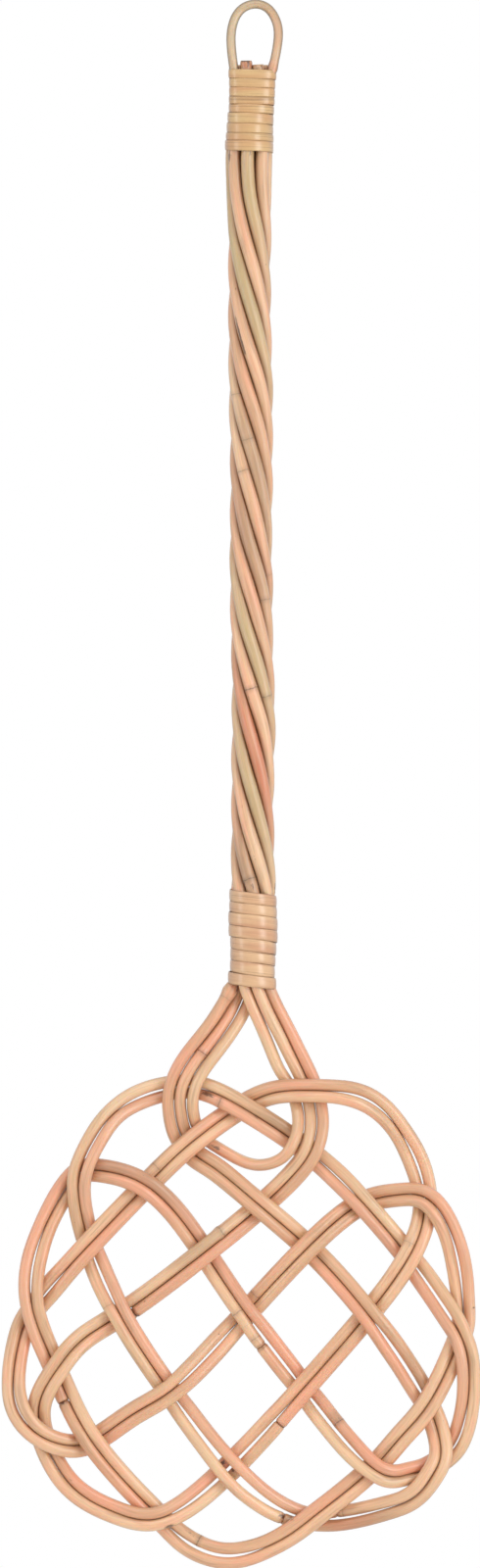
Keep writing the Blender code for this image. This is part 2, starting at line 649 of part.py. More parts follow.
def loop_leg_place():
    """Where the loop's legs nest beside the closed ring of canes, to one side and in depth."""
    ring = closed_ring_radius()
    half_slot = math.pi / TOP_CANES
    reach = (CANE_DIAMETER + LOOP_CANE_DIAMETER) / 2 + TOUCH_GAP
    out = ring * math.cos(half_slot) + math.sqrt(reach ** 2 - (ring * math.sin(half_slot)) ** 2)
    return out * math.sin(LOOP_LEG_ANGLE), -out * math.cos(LOOP_LEG_ANGLE)


def loop_line():
    """The hanging loop's cane: up from inside the binding, over the eye and down again."""
    side, depth = loop_leg_place()
    height = LOOP_EYE_HEIGHT + LOOP_CANE_DIAMETER / 2
    tucks = np.linspace(-LOOP_TUCK_LENGTH, 0, LOOP_LEG_STEPS, endpoint=False)
    left = [(-side, depth, TOP_BINDING_TOP + tuck) for tuck in tucks]
    right = [(side, depth, TOP_BINDING_TOP + tuck) for tuck in tucks[::-1]]
    bend = [(across * LOOP_BEND_WIDTH, depth * (1 - ease(up)), TOP_BINDING_TOP + up * height)
            for across, up in LOOP_BEND_SHARES]
    dense = smooth_curve(left + bend + right)
    length = distance_along(dense)[-1]
    return read_along(dense, np.linspace(0, length, round(length / LOOP_STEP) + 1))


def strip_width(length, turns):
    """The width at which the turns of a strip fill a binding's length."""
    return (length + STRIP_TURN_GAP) / (turns + 1) - STRIP_TURN_GAP


def reach_of_canes(canes, angle, low, high):
    """How far the canes stand out at an angle, anywhere between two heights."""
    outward = np.array([math.sin(angle), -math.cos(angle)])
    reaches = []
    for line, radius in canes:
        levels = np.linspace(low, high, STRIP_LEVELS)
        levels = levels[(levels <= line[0, 2]) & (levels >= line[-1, 2])]
        across = np.interp(-levels, -line[:, 2], line[:, 0])
        back = np.interp(-levels, -line[:, 2], line[:, 1])
        reaches += list(outward[0] * across + outward[1] * back + radius)
    return max(reaches)


def binding_line(top, length, turns, canes):
    """The strip's centre line, wound closely round the canes, each a line with its radius.

    At each angle the strip's inside touches the cane that stands out furthest, and its corners
    lie where the touching lines of two successive angles meet.
    """
    width = strip_width(length, turns)
    shares = np.linspace(0, 1, turns * POINTS_PER_TURN + 1)
    heights = top - width / 2 - shares * (length - width)
    step = 2 * math.pi / POINTS_PER_TURN
    angles = math.pi + step * np.arange(len(shares) + 1)
    clear = TOUCH_GAP + STRIP_THICKNESS / 2
    levels = np.append(heights, heights[-1])
    reaches = [clear + reach_of_canes(canes, angle, level - width / 2, level + width / 2)
               for angle, level in zip(angles, levels)]
    points = []
    for place, height in enumerate(heights):
        angle = angles[place]
        onward = (reaches[place + 1] - reaches[place] * math.cos(step)) / math.sin(step)
        across = reaches[place] * math.sin(angle) + onward * math.cos(angle)
        back = -reaches[place] * math.cos(angle) + onward * math.sin(angle)
        points.append((across, back, height))
    return np.array(points)


def strip_profile(name, width, collection):
    """The strip's section: flat against the canes and crowned outside."""
    inner = -STRIP_THICKNESS / 2
    shoulder = inner + STRIP_SHOULDER_SHARE * STRIP_THICKNESS
    outer = STRIP_THICKNESS / 2
    crown = STRIP_CROWN_SHARE * width / 2
    half = width / 2
    corners = [(inner, half), (shoulder, half), (outer, crown), (outer, -crown),
               (shoulder, -half), (inner, -half)]
    curve = polyline_curve(name, [(across, up, 0) for across, up in corners], cyclic=True)
    curve.dimensions = "2D"
    profile = bpy.data.objects.new(name, curve)
    profile.hide_render = True
    profile.display_type = "WIRE"
    collection.objects.link(profile)
    return profile


def add_binding(name, line, width, collection, guides):
    """A binding: the strip's section carried along its wound line."""
    curve = polyline_curve(name, line)
    curve.twist_mode = "Z_UP"
    curve.bevel_mode = "OBJECT"
    curve.bevel_object = strip_profile(name + "_profile", width, guides)
    curve.use_fill_caps = True
    curve.materials.append(rattan_material(name, STRIP_ROUGHNESS))
    binding = bpy.data.objects.new(name, curve)
    collection.objects.link(binding)
    print(f"{name}: least gap between turns {least_turn_gap(line, width) / MM:.2f} mm")
    return binding


def least_turn_gap(line, width):
    """The least gap between the edges of a strip's successive turns, measured on its points."""
    half = np.array([0, 0, width / 2])
    earlier, later = np.triu_indices(len(line), POINTS_PER_TURN // 2)
    return np.min(np.linalg.norm(line[earlier] - half - line[later] - half, axis=1))


def neck_part(line, at_start):
    """The stretch of a cane's line that the bindings may touch, from the top down."""
    run = line if at_start else line[::-1]
    leaving = np.flatnonzero(run[:, 2] < NECK_BINDING_FOOT)[0]
    return run[:leaving + 2]


def build():
    """Models the beater."""
    clear_scene()
    parts = bpy.data.collections.new("carpet_beater")
    guides = bpy.data.collections.new("guides")
    for collection in (parts, guides):
        bpy.context.scene.collection.children.link(collection)

    strand_a, marks_a = pair_strand(1, 3, 0)
    strand_b, marks_b = pair_strand(-1, 4, 1)
    teardrop = teardrop_strand(5, 2)
    leg_entry = NECK_BINDING_FOOT + LEG_ENTRY_LENGTH
    weave = Weave([strand_a, strand_b, teardrop], leg_entry - TOUCH_GAP)
    weave.settle()
    print(f"woven canes: least gap {(weave.least_gap() - CANE_DIAMETER) / MM:.2f} mm")
    strand_a, strand_b, teardrop = weave.lines()

    for letter, line, marks, splices in (("a", strand_a, marks_a, STRAND_A_SPLICE_SHARES),
                                         ("b", strand_b, marks_b, STRAND_B_SPLICE_SHARES)):
        for number, length in enumerate(cut_lengths(line, marks, splices), start=1):
            add_cane(f"strand_{letter}_cane_{number}", length, CANE_DIAMETER, parts)
    add_cane("teardrop_cane", teardrop, CANE_DIAMETER, parts)

    filler = filler_run()
    add_cane("handle_filler_cane", filler[::-1], CANE_DIAMETER, parts)
    add_cane("handle_core", core_run(), CORE_DIAMETER, parts)
    loop = loop_line()
    add_cane("hanging_loop", loop, LOOP_CANE_DIAMETER, parts)

    canes = [(neck_part(line, at_start), CANE_DIAMETER / 2)
             for line in (strand_a, strand_b, teardrop) for at_start in (True, False)]
    canes.append((filler, CANE_DIAMETER / 2))
    top_middle = len(loop) // 2
    legs = [(loop[top_middle:], LOOP_CANE_DIAMETER / 2),
            (loop[top_middle::-1], LOOP_CANE_DIAMETER / 2)]
    for name, top, length, turns, held in (
            ("top_binding", TOP_BINDING_TOP, TOP_BINDING_LENGTH, TOP_TURNS, canes + legs),
            ("neck_binding", NECK_BINDING_TOP, NECK_BINDING_LENGTH, NECK_TURNS, canes)):
        line = binding_line(top, length, turns, held)
        add_binding(name, line, strip_width(length, turns), parts, guides)


build()
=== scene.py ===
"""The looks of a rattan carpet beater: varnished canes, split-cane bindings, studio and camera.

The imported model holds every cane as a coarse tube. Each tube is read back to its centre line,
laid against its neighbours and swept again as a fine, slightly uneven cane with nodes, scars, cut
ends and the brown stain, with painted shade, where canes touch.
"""

from __future__ import annotations

import logging
import math
from dataclasses import dataclass, field
from enum import Enum

import bmesh
import bpy
import numpy as np
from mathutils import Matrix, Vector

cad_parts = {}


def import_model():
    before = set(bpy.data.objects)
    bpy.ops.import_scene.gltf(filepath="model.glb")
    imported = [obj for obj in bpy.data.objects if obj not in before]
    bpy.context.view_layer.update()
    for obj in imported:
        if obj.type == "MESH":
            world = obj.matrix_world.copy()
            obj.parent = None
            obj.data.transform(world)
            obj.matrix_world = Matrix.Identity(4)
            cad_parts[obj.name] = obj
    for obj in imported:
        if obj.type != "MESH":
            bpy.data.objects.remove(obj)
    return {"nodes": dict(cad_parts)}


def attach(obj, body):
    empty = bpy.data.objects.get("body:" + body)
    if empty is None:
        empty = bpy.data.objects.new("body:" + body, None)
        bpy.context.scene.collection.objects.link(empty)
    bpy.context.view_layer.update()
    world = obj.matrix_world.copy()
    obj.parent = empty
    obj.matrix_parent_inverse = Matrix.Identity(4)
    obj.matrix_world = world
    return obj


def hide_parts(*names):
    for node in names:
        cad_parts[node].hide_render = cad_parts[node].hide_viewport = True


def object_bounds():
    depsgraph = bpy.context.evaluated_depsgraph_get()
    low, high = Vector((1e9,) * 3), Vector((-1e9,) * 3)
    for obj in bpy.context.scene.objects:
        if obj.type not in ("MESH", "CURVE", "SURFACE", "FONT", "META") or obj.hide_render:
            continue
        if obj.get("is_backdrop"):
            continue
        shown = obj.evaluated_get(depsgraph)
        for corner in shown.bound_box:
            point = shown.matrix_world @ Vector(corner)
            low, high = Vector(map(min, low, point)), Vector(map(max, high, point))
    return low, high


LOG = logging.getLogger("carpet_beater")

MM = 0.001

# The photograph: its size, the pixel that shows the origin, the height that it shows, and how far
# the camera stood
PHOTO_WIDTH_PX = 490
PHOTO_HEIGHT_PX = 1600
ORIGIN_PX = (257.5, 8.75)
PHOTO_HEIGHT = 780 * MM
METRES_PER_PX = PHOTO_HEIGHT / PHOTO_HEIGHT_PX
CAMERA_DISTANCE = 6.0

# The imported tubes: their sides, what counts as one vertex, and what counts as one flat
CANE_SIDES = 8
STRIP_SIDES = 6
MERGE_DISTANCE = 0.01 * MM
FLAT_COSINE = 0.99999

# A whole turn, the directions up and to the front, and what of a place counts on the level and
# as the lens sees it
FULL_TURN = 2 * math.pi
UP = np.array([0.0, 0.0, 1.0])
FRONT = np.array([0.0, -1.0, 0.0])
LEVEL = np.array([1.0, 1.0, 0.0])
FACE_ON = np.array([1.0, 0.0, 1.0])

# A ring of vertices this much flatter than it is wide has no centre off its own plane
FLAT_RING = 1e-3

# What nodes are told again and again: settings, a range's inputs and a colour mix's sockets
EASED = {"interpolation_type": "SMOOTHSTEP"}
TIMES = {"operation": "MULTIPLY"}
TIMES_PLUS = {"operation": "MULTIPLY_ADD"}
RANGE = ("From Min", "From Max", "To Min", "To Max")
MIX_BELOW, MIX_ABOVE, MIX_RESULT = 6, 7, 2

# The attribute that holds each point's place in its straightened cane or unwound strip
OWN_SPACE = "own_space"

Array = np.ndarray
Socket = bpy.types.NodeSocket
Colour = tuple[float, float, float, float]
Settings = dict[str | int, object]
Links = dict[str | int, Socket]


def linear_colour(code: str) -> Colour:
    """Turns an sRGB hex code into a linear colour.

    Args:
        code: the colour, such as "#E9BE8E".

    Returns:
        Red, green, blue and alpha, linear.
    """
    shares = [int(code[place:place + 2], 16) / 255 for place in (1, 3, 5)]
    red, green, blue = (s / 12.92 if s <= 0.04045 else ((s + 0.055) / 1.055) ** 2.4 for s in shares)
    return red, green, blue, 1.0


def fit_node(node: bpy.types.Node, settings: Settings, links: Links) -> None:
    """Gives a node its settings and links.

    Args:
        node: the node.
        settings: values by name; a capital letter or a number means an input socket.
        links: the output socket that feeds each input.
    """
    for name, value in settings.items():
        if isinstance(name, int) or name[0].isupper():
            node.inputs[name].default_value = value
        else:
            setattr(node, name, value)
    for name, socket in links.items():
        node.id_data.links.new(socket, node.inputs[name])


def add_node(tree: bpy.types.NodeTree, kind: str, settings: Settings | None = None,
             links: Links | None = None, output: str | int = 0) -> Socket:
    """Adds one node with its settings and links.

    Args:
        tree: the material's or world's node tree.
        kind: the node's type name, without "ShaderNode".
        settings: as fit_node takes them.
        links: the output socket that feeds each input.
        output: which of the node's outputs is wanted.

    Returns:
        That output.
    """
    node = tree.nodes.new("ShaderNode" + kind)
    fit_node(node, settings or {}, links or {})
    return node.outputs[output]


def stretched_noise(tree: bpy.types.NodeTree, space: Socket, across: float, along: float,
                    detail: float) -> Socket:
    """Noise whose patches have a given width across a cane and length along it.

    Args:
        tree: the material's node tree.
        space: the straightened cane's own space.
        across: a patch's width.
        along: a patch's length.
        detail: how many finer layers it has.

    Returns:
        The noise, about 0.5 and mostly from 0.3 to 0.7.
    """
    scaled = add_node(tree, "Mapping", {"Scale": (1 / across, 1 / across, 1 / along)},
                      {"Vector": space})
    return add_node(tree, "TexNoise", {"Scale": 1.0, "Detail": detail}, {"Vector": scaled})


def washed(tree: bpy.types.NodeTree, colour: str | Socket,
           washes: list[tuple[Socket, str]]) -> Socket:
    """Lays tones over a colour, one after another.

    Args:
        tree: the material's node tree.
        colour: the colour below them, as a hex code or a socket.
        washes: each tone's share, from 0 to 1, and its hex code.

    Returns:
        The colour that shows.
    """
    for share, tone in washes:
        settings = {"data_type": "RGBA", MIX_ABOVE: linear_colour(tone)}
        links = {0: share}
        if isinstance(colour, str):
            settings[MIX_BELOW] = linear_colour(colour)
        else:
            links[MIX_BELOW] = colour
        colour = add_node(tree, "Mix", settings, links, MIX_RESULT)
    return colour


def new_material(name: str) -> tuple[bpy.types.Material, bpy.types.NodeTree, bpy.types.Node]:
    """Starts a material.

    Args:
        name: its name.

    Returns:
        The material, its node tree and its shader.
    """
    material = bpy.data.materials.new(name)
    material.use_nodes = True
    return material, material.node_tree, material.node_tree.nodes["Principled BSDF"]


def put_up(name: str, data: bpy.types.ID) -> bpy.types.Object:
    """Makes an object and links it to the scene.

    Args:
        name: the object's name.
        data: its mesh, lamp or camera.

    Returns:
        The object.
    """
    made = bpy.data.objects.new(name, data)
    bpy.context.scene.collection.objects.link(made)
    return made


def photo_place(pixel: tuple[float, float], ahead: float = 0.0) -> tuple[float, float]:
    """The place that a pixel of the photograph shows.

    On the beater's own plane it is the pixel's distance from the origin's, times the scale. Nearer
    the camera, everything draws in towards the picture's middle by the share of the way there.

    Args:
        pixel: the column and the row.
        ahead: how far in front of the beater's plane the surface is.

    Returns:
        X and Z.
    """
    middle = PHOTO_WIDTH_PX / 2, PHOTO_HEIGHT_PX / 2
    drawn = 1 - ahead / CAMERA_DISTANCE
    column, row = (centre + (value - centre) * drawn for centre, value in zip(middle, pixel))
    return (column - ORIGIN_PX[0]) * METRES_PER_PX, (ORIGIN_PX[1] - row) * METRES_PER_PX


class MarkKind(Enum):
    """A mark on a cane: bark and painted shadows stay where they are; the others go all round."""

    NODE_RING = "node_ring"
    KNOB = "knob"
    BARK = "bark"
    BLUSH = "blush"
    GREEN = "green"
    DULL = "dull"
    RUSSET = "russet"


TONE_KINDS = (MarkKind.BLUSH, MarkKind.GREEN, MarkKind.DULL, MarkKind.RUSSET)


@dataclass(frozen=True)
class Mark:
    """A mark that the photograph shows on a cane.

    Attributes:
        kind: a node's ring or swelling, dark bark or a painted shadow, or a stretch of another
            tone.
        pixel: where it shows.
        strength: from 0 to 1, how plainly it shows.
        length_px: how far it runs along the cane.
        width_px: how far it runs round the cane.
    """

    kind: MarkKind
    pixel: tuple[float, float]
    strength: float
    length_px: float = 2.0
    width_px: float = 2.0


# Rows of column, row, strength and, but for rings, length; bark and painted shadows have a width
# too
MARK_ROWS: dict[MarkKind, tuple[tuple[float, ...], ...]] = {
    MarkKind.NODE_RING: (
        (206, 1074, 0.9), (227, 1124, 0.7), (162, 1191, 0.5), (113, 1331, 0.4), (285, 1456, 0.8),
        (225, 1256, 0.7), (205, 1571, 0.9), (345.6, 1453, 0.8), (260, 1320, 0.6),
        (238, 1343, 0.6), (229, 1017, 0.35), (351, 1543, 0.5), (239, 404, 0.45),
        (249.5, 450, 0.45), (247, 482, 0.55), (270, 612, 0.5), (254, 703, 0.8), (270, 710, 0.7),
        (253, 897, 0.8), (272, 585, 0.3), (278, 70, 0.2), (262, 1363, 0.5), (418, 1268, 0.4),
    ),
    MarkKind.KNOB: (
        (231, 1009, 1.0, 13), (205, 1074, 0.35, 6), (270, 710, 0.3, 8), (278, 71, 0.5, 10),
        (223, 1256, 0.4, 8),
    ),
    MarkKind.BARK: (
        (214, 1117, 0.8, 18, 6), (224, 1173, 0.7, 7, 5), (218, 1170, 0.5, 8, 3),
        (243.4, 337, 1.1, 32, 2.6), (248.6, 355, 1.0, 18, 2.2), (173, 1557, 0.9, 12, 5),
        (140, 1343, 0.9, 8, 6), (290, 1548, 0.9, 14, 6), (62, 1428, 0.9, 6, 6),
        (241, 298, 0.5, 6, 2), (275, 509, 0.5, 10, 2), (265, 530, 0.35, 9, 4),
        (254, 713, 0.45, 13, 5), (250, 903, 0.75, 12, 5), (258, 905, 0.5, 10, 4),
        (281, 905, 0.8, 14, 4), (267, 68, 0.7, 5, 3), (271, 269, 0.6, 2, 2),
        (299, 1550, 0.6, 6, 5), (437, 1410, 0.5, 10, 3), (418, 1271, 0.6, 8, 2),
        (424, 1393, 0.5, 12, 2), (282, 1083, 0.45, 9, 2), (484, 1335, 0.9, 1.6, 5),
        (53, 1489, 0.35, 8, 4), (72, 1511, 0.35, 12, 3), (228, 1492, 0.8, 8, 5),
        (238, 1500, 0.7, 5, 6), (148, 1328, 0.5, 6, 3), (223, 1362, 0.6, 4, 3),
        # A painted shadow by the knob, then two dark patches just under the top binding
        (241.5, 1009, 0.8, 12, 3), (234, 160, 0.8, 16, 4), (255, 158, 0.55, 8, 6),
        (249, 63.2, 0.9, 3, 14), (253.5, 67, 0.8, 8, 3), (248, 667, 0.4, 9, 1.4),
        (260, 792, 0.5, 9, 1.4), (247, 825, 0.6, 5, 2), (260, 876, 0.5, 14, 1.4),
        (277.7, 611, 0.5, 9, 2), (196, 1566, 0.45, 20, 4), (346, 1447, 0.4, 14, 4),
        (391, 1322, 0.4, 9, 3), (236, 1036, 0.4, 6, 4), (68, 1393, 0.4, 9, 2),
        # The last is a painted shadow inside the loop's arch
        (262, 1140, 0.45, 16, 4), (348, 1541, 0.6, 5, 5), (260.5, 7.5, 0.5, 7, 1.5),
    ),
    MarkKind.BLUSH: (
        (212, 1058, 0.9, 70), (190, 1084, 0.8, 50), (150, 1225, 0.9, 110), (110, 1262, 0.8, 80),
        (228, 1275, 0.9, 80), (170, 1308, 0.7, 60), (310, 1070, 1.0, 90), (342, 1322, 1.0, 70),
        (385, 1360, 0.7, 70), (285, 1385, 1.0, 70), (98, 1520, 1.0, 80), (140, 1530, 0.8, 50),
        (215, 1500, 1.0, 90), (330, 1530, 0.6, 60), (205, 1400, 0.6, 60),
        (212, 1145, 0.8, 60), (28, 1380, 0.7, 70), (33, 1262, 0.6, 90), (110, 1470, 0.7, 60),
        (452, 1240, 0.7, 80), (484, 1300, 0.6, 70), (300, 1432, 0.8, 110), (372, 1488, 0.7, 60),
        (425, 1500, 0.6, 60), (250, 1592, 0.6, 70), (60, 1290, 0.4, 50), (300, 1105, 0.5, 60),
        (235, 1165, 0.7, 40), (400, 1395, 0.7, 60), (257, 265, 0.25, 190), (257, 602, 0.4, 130),
        (257, 505, 0.2, 100), (278, 70, 0.8, 16), (286, 38, 0.5, 60),
    ),
    MarkKind.GREEN: (
        (250, 190, 0.9, 190), (257, 312, 0.9, 180), (257, 657, 0.9, 170), (257, 813, 0.9, 180),
        (236, 215, 1.0, 130), (205, 1268, 0.25, 50),
    ),
    MarkKind.DULL: (
        (257, 467, 0.7, 140), (257, 556, 0.8, 150), (254, 885, 0.9, 90), (284, 1143, 0.8, 40),
        (160, 1215, 0.6, 60), (112, 1190, 0.5, 50), (370, 1556, 0.8, 80), (249, 66, 1.0, 12),
        (266, 69, 0.6, 8), (295, 1550, 0.8, 24), (345, 1446, 0.6, 16), (60, 1430, 0.6, 20),
        (432, 1400, 0.4, 60), (200, 1270, 0.5, 70), (236, 165, 0.4, 30),
    ),
    MarkKind.RUSSET: (
        (257, 769, 1.0, 190), (249, 66, 0.6, 12), (355, 1556, 0.5, 60), (98, 1505, 0.4, 60),
        (280, 1392, 0.5, 50),
    ),
}

MARKS = [Mark(kind, row[:2], *row[2:]) for kind, rows in MARK_ROWS.items() for row in rows]


@dataclass(frozen=True)
class RattanFinish:
    """Clear-varnished rattan cane, peeled and rubbed smooth: satin, peach to tan, finely fibred.

    Attributes:
        name: the material's name.
        pale: the fibres' light tone.
        deep: the darker tone that drifts along the cane.
        blush: pinkish stretches.
        green: greyish green stretches that kept some skin.
        dull: grey-brown, weathered stretches.
        russet: the deep pink of the reddest cane.
        stain_and_shade_tone: the brown of stain where canes touch, and of painted shade there.
        rim: painted shade where the cane is seen at a slant, towards its edges.
        bark: remains of bark at nodes and scars, and painted shadows.
        rim_start: the slant at which the rim begins, from 0, facing the eye, to 1.
        rim_full: the slant at which it is full.
        rim_share: how plainly it shows.
        fibre_width: how wide a fibre shows; real ones are finer, and wouldn't show.
        fibre_length: how long its streak is.
        mottle_length: how long a patch of tone is.
        roughness: how satin the skin is.
        glow: how much light sinks in and comes out nearby, which warms the grooves.
    """

    name: str
    pale: str
    deep: str
    blush: str = "#F0AD8A"
    green: str = "#C9AF80"
    dull: str = "#B58F6D"
    russet: str = "#D98A66"
    stain_and_shade_tone: str = "#824E29"
    rim: str = "#8A6B55"
    bark: str = "#4F3325"
    rim_start: float = 0.4
    rim_full: float = 1.0
    rim_share: float = 0.7
    fibre_width: float = 0.45 * MM
    fibre_length: float = 16 * MM
    mottle_length: float = 34 * MM
    roughness: float = 0.34
    glow: float = 0.45

    def material(self) -> bpy.types.Material:
        """Builds the cane's material.

        Noise is read in the straightened cane's own space, so that the fibres follow the cane.
        The colour goes from pale to deep by patches, to another tone where the cane is marked so,
        and down to stain with painted shade, bark with painted shadows and node rings by the
        attributes that the skin carries, and to painted shade towards the slanting rim.

        Returns:
            The material.
        """
        material, tree, shader = new_material(self.name)
        space = add_node(tree, "Attribute", {"attribute_name": OWN_SPACE}, output="Vector")
        contact, ring_offset, ring_strength, bark, *tones = (
            add_node(tree, "Attribute", {"attribute_name": name}, output="Fac")
            for name in ("contact", "ring_offset", "ring_strength", "bark",
                         *(kind.value for kind in TONE_KINDS)))
        slant = add_node(tree, "LayerWeight", {"Blend": 0.5}, output="Facing")

        # Each noise's patch width and length, and how many finer layers it has
        fibre, mottle, drift, weather, grit = (
            stretched_noise(tree, space, *sizes) for sizes in (
                (self.fibre_width, self.fibre_length, 3.0), (4 * MM, self.mottle_length, 2.0),
                (12 * MM, 3 * self.mottle_length, 1.0), (1.8 * MM, 24 * MM, 2.0),
                (0.5 * MM, 1.4 * MM, 2.0)))

        # A node ring wavers along the cane, and bark and painted shadows are frayed by the grit
        waves = add_node(tree, "Math", {**TIMES_PLUS, 1: 1.2 * MM, 2: -0.6 * MM}, {0: weather})
        offset = add_node(tree, "Math", {"operation": "ADD"}, {0: ring_offset, 1: waves})
        distance = add_node(tree, "Math", {"operation": "ABSOLUTE"}, {0: offset})
        frayed = add_node(tree, "Math", {"operation": "ADD"}, {0: grit, 1: bark})

        # Slow changes of tone, pinkish patches, weathered streaks, how marked tones vary, specks,
        # painted rim shade, a ring's line and its faint halo, and scars and painted shadows
        drifted, flushed, weathered, patchy, speck, rim, line, halo, scar_and_shadow = (
            add_node(tree, "MapRange", {**EASED, **dict(zip(RANGE, limits))}, {"Value": source})
            for source, *limits in (
                (drift, 0.35, 0.65), (mottle, 0.50, 0.68, 0.0, 0.55),
                (weather, 0.52, 0.72, 0.0, 0.5), (mottle, 0.25, 0.6, 0.5),
                (grit, 0.70, 0.78, 0.0, 0.4),
                (slant, self.rim_start, self.rim_full, 0.0, self.rim_share),
                (distance, 0.1 * MM, 0.65 * MM, 0.9, 0.0),
                (distance, 0.3 * MM, 2.8 * MM, 0.35, 0.0), (frayed, 0.75, 1.2, 0.0, 0.85)))

        # Lighter and darker fibres and patches, how much stain and painted shade show, where rings
        # are broken, and varnish that sinks into the fibres
        streaks, clouds, taken, broken, gloss = (
            add_node(tree, "MapRange", dict(zip(RANGE, limits)), {"Value": source})
            for source, *limits in (
                (fibre, 0.3, 0.7, 0.90, 1.07), (mottle, 0.3, 0.7, 0.94, 1.05),
                (mottle, 0.3, 0.65, 0.25, 0.6), (fibre, 0.35, 0.6, 0.45, 1.0),
                (fibre, 0.3, 0.7, self.roughness - 0.04, self.roughness + 0.08)))
        wider = add_node(tree, "Math", {"operation": "MAXIMUM"}, {0: line, 1: halo})
        worn = add_node(tree, "Math", TIMES, {0: wider, 1: broken})
        shade, stain_and_shade, ring, *marked = (
            add_node(tree, "Math", TIMES, {0: first, 1: second})
            for first, second in ((streaks, clouds), (contact, taken), (worn, ring_strength),
                                  *((tone, patchy) for tone in tones)))

        marked_tones = [getattr(self, kind.value) for kind in TONE_KINDS]
        colour = washed(tree, self.pale, [
            (drifted, self.deep), (flushed, self.blush), (weathered, self.dull),
            *zip(marked, marked_tones)])
        colour = add_node(tree, "VectorMath", {"operation": "SCALE"}, {0: colour, "Scale": shade})
        # Specks, stain with painted shade, painted rim shade, rings, and bark with painted shadows
        colour = washed(tree, colour, [
            (speck, self.bark), (stain_and_shade, self.stain_and_shade_tone), (rim, self.rim), (ring, self.bark),
            (scar_and_shadow, self.bark)])
        height = add_node(tree, "Math", {**TIMES_PLUS, 1: -2.0}, {0: ring, 2: fibre})
        bump = add_node(tree, "Bump", {"Strength": 0.35, "Distance": 0.05 * MM},
                        {"Height": height})
        fit_node(shader, {"IOR": 1.5, "Coat Weight": 0.5, "Coat Roughness": 0.29,
                          "Subsurface Weight": self.glow, "Subsurface Radius": (1.0, 0.45, 0.2),
                          "Subsurface Scale": 0.9 * MM},
                 {"Base Color": colour, "Roughness": gloss, "Normal": bump})
        return material


@dataclass(frozen=True)
class EndGrainFinish:
    """A cane's sawn end: brown and dull, with the open pores that run along rattan.

    Attributes:
        name: the material's name.
        wood: the tone between the pores.
        pore: the tone of the pores.
        pore_spacing: from pore to pore; real ones are about half that, and wouldn't show.
    """

    name: str = "sawn_rattan_end"
    wood: str = "#B98463"
    pore: str = "#6D4330"
    pore_spacing: float = 0.7 * MM

    def material(self) -> bpy.types.Material:
        """Builds the sawn end's material: each pore is a soft dark dot in a cell.

        Returns:
            The material.
        """
        material, tree, shader = new_material(self.name)
        space = add_node(tree, "Attribute", {"attribute_name": OWN_SPACE}, output="Vector")
        flat = add_node(tree, "Mapping",
                        {"Scale": (1 / self.pore_spacing, 1 / self.pore_spacing, 0.0)},
                        {"Vector": space})
        pores = add_node(tree, "TexVoronoi", {"Scale": 1.0}, {"Vector": flat})
        open_pore = add_node(tree, "MapRange", dict(zip(RANGE, (0.15, 0.45, 1.0, 0.0))),
                             {"Value": pores})
        colour = washed(tree, self.wood, [(open_pore, self.pore)])
        fit_node(shader, {"Roughness": 0.8}, {"Base Color": colour})
        return material


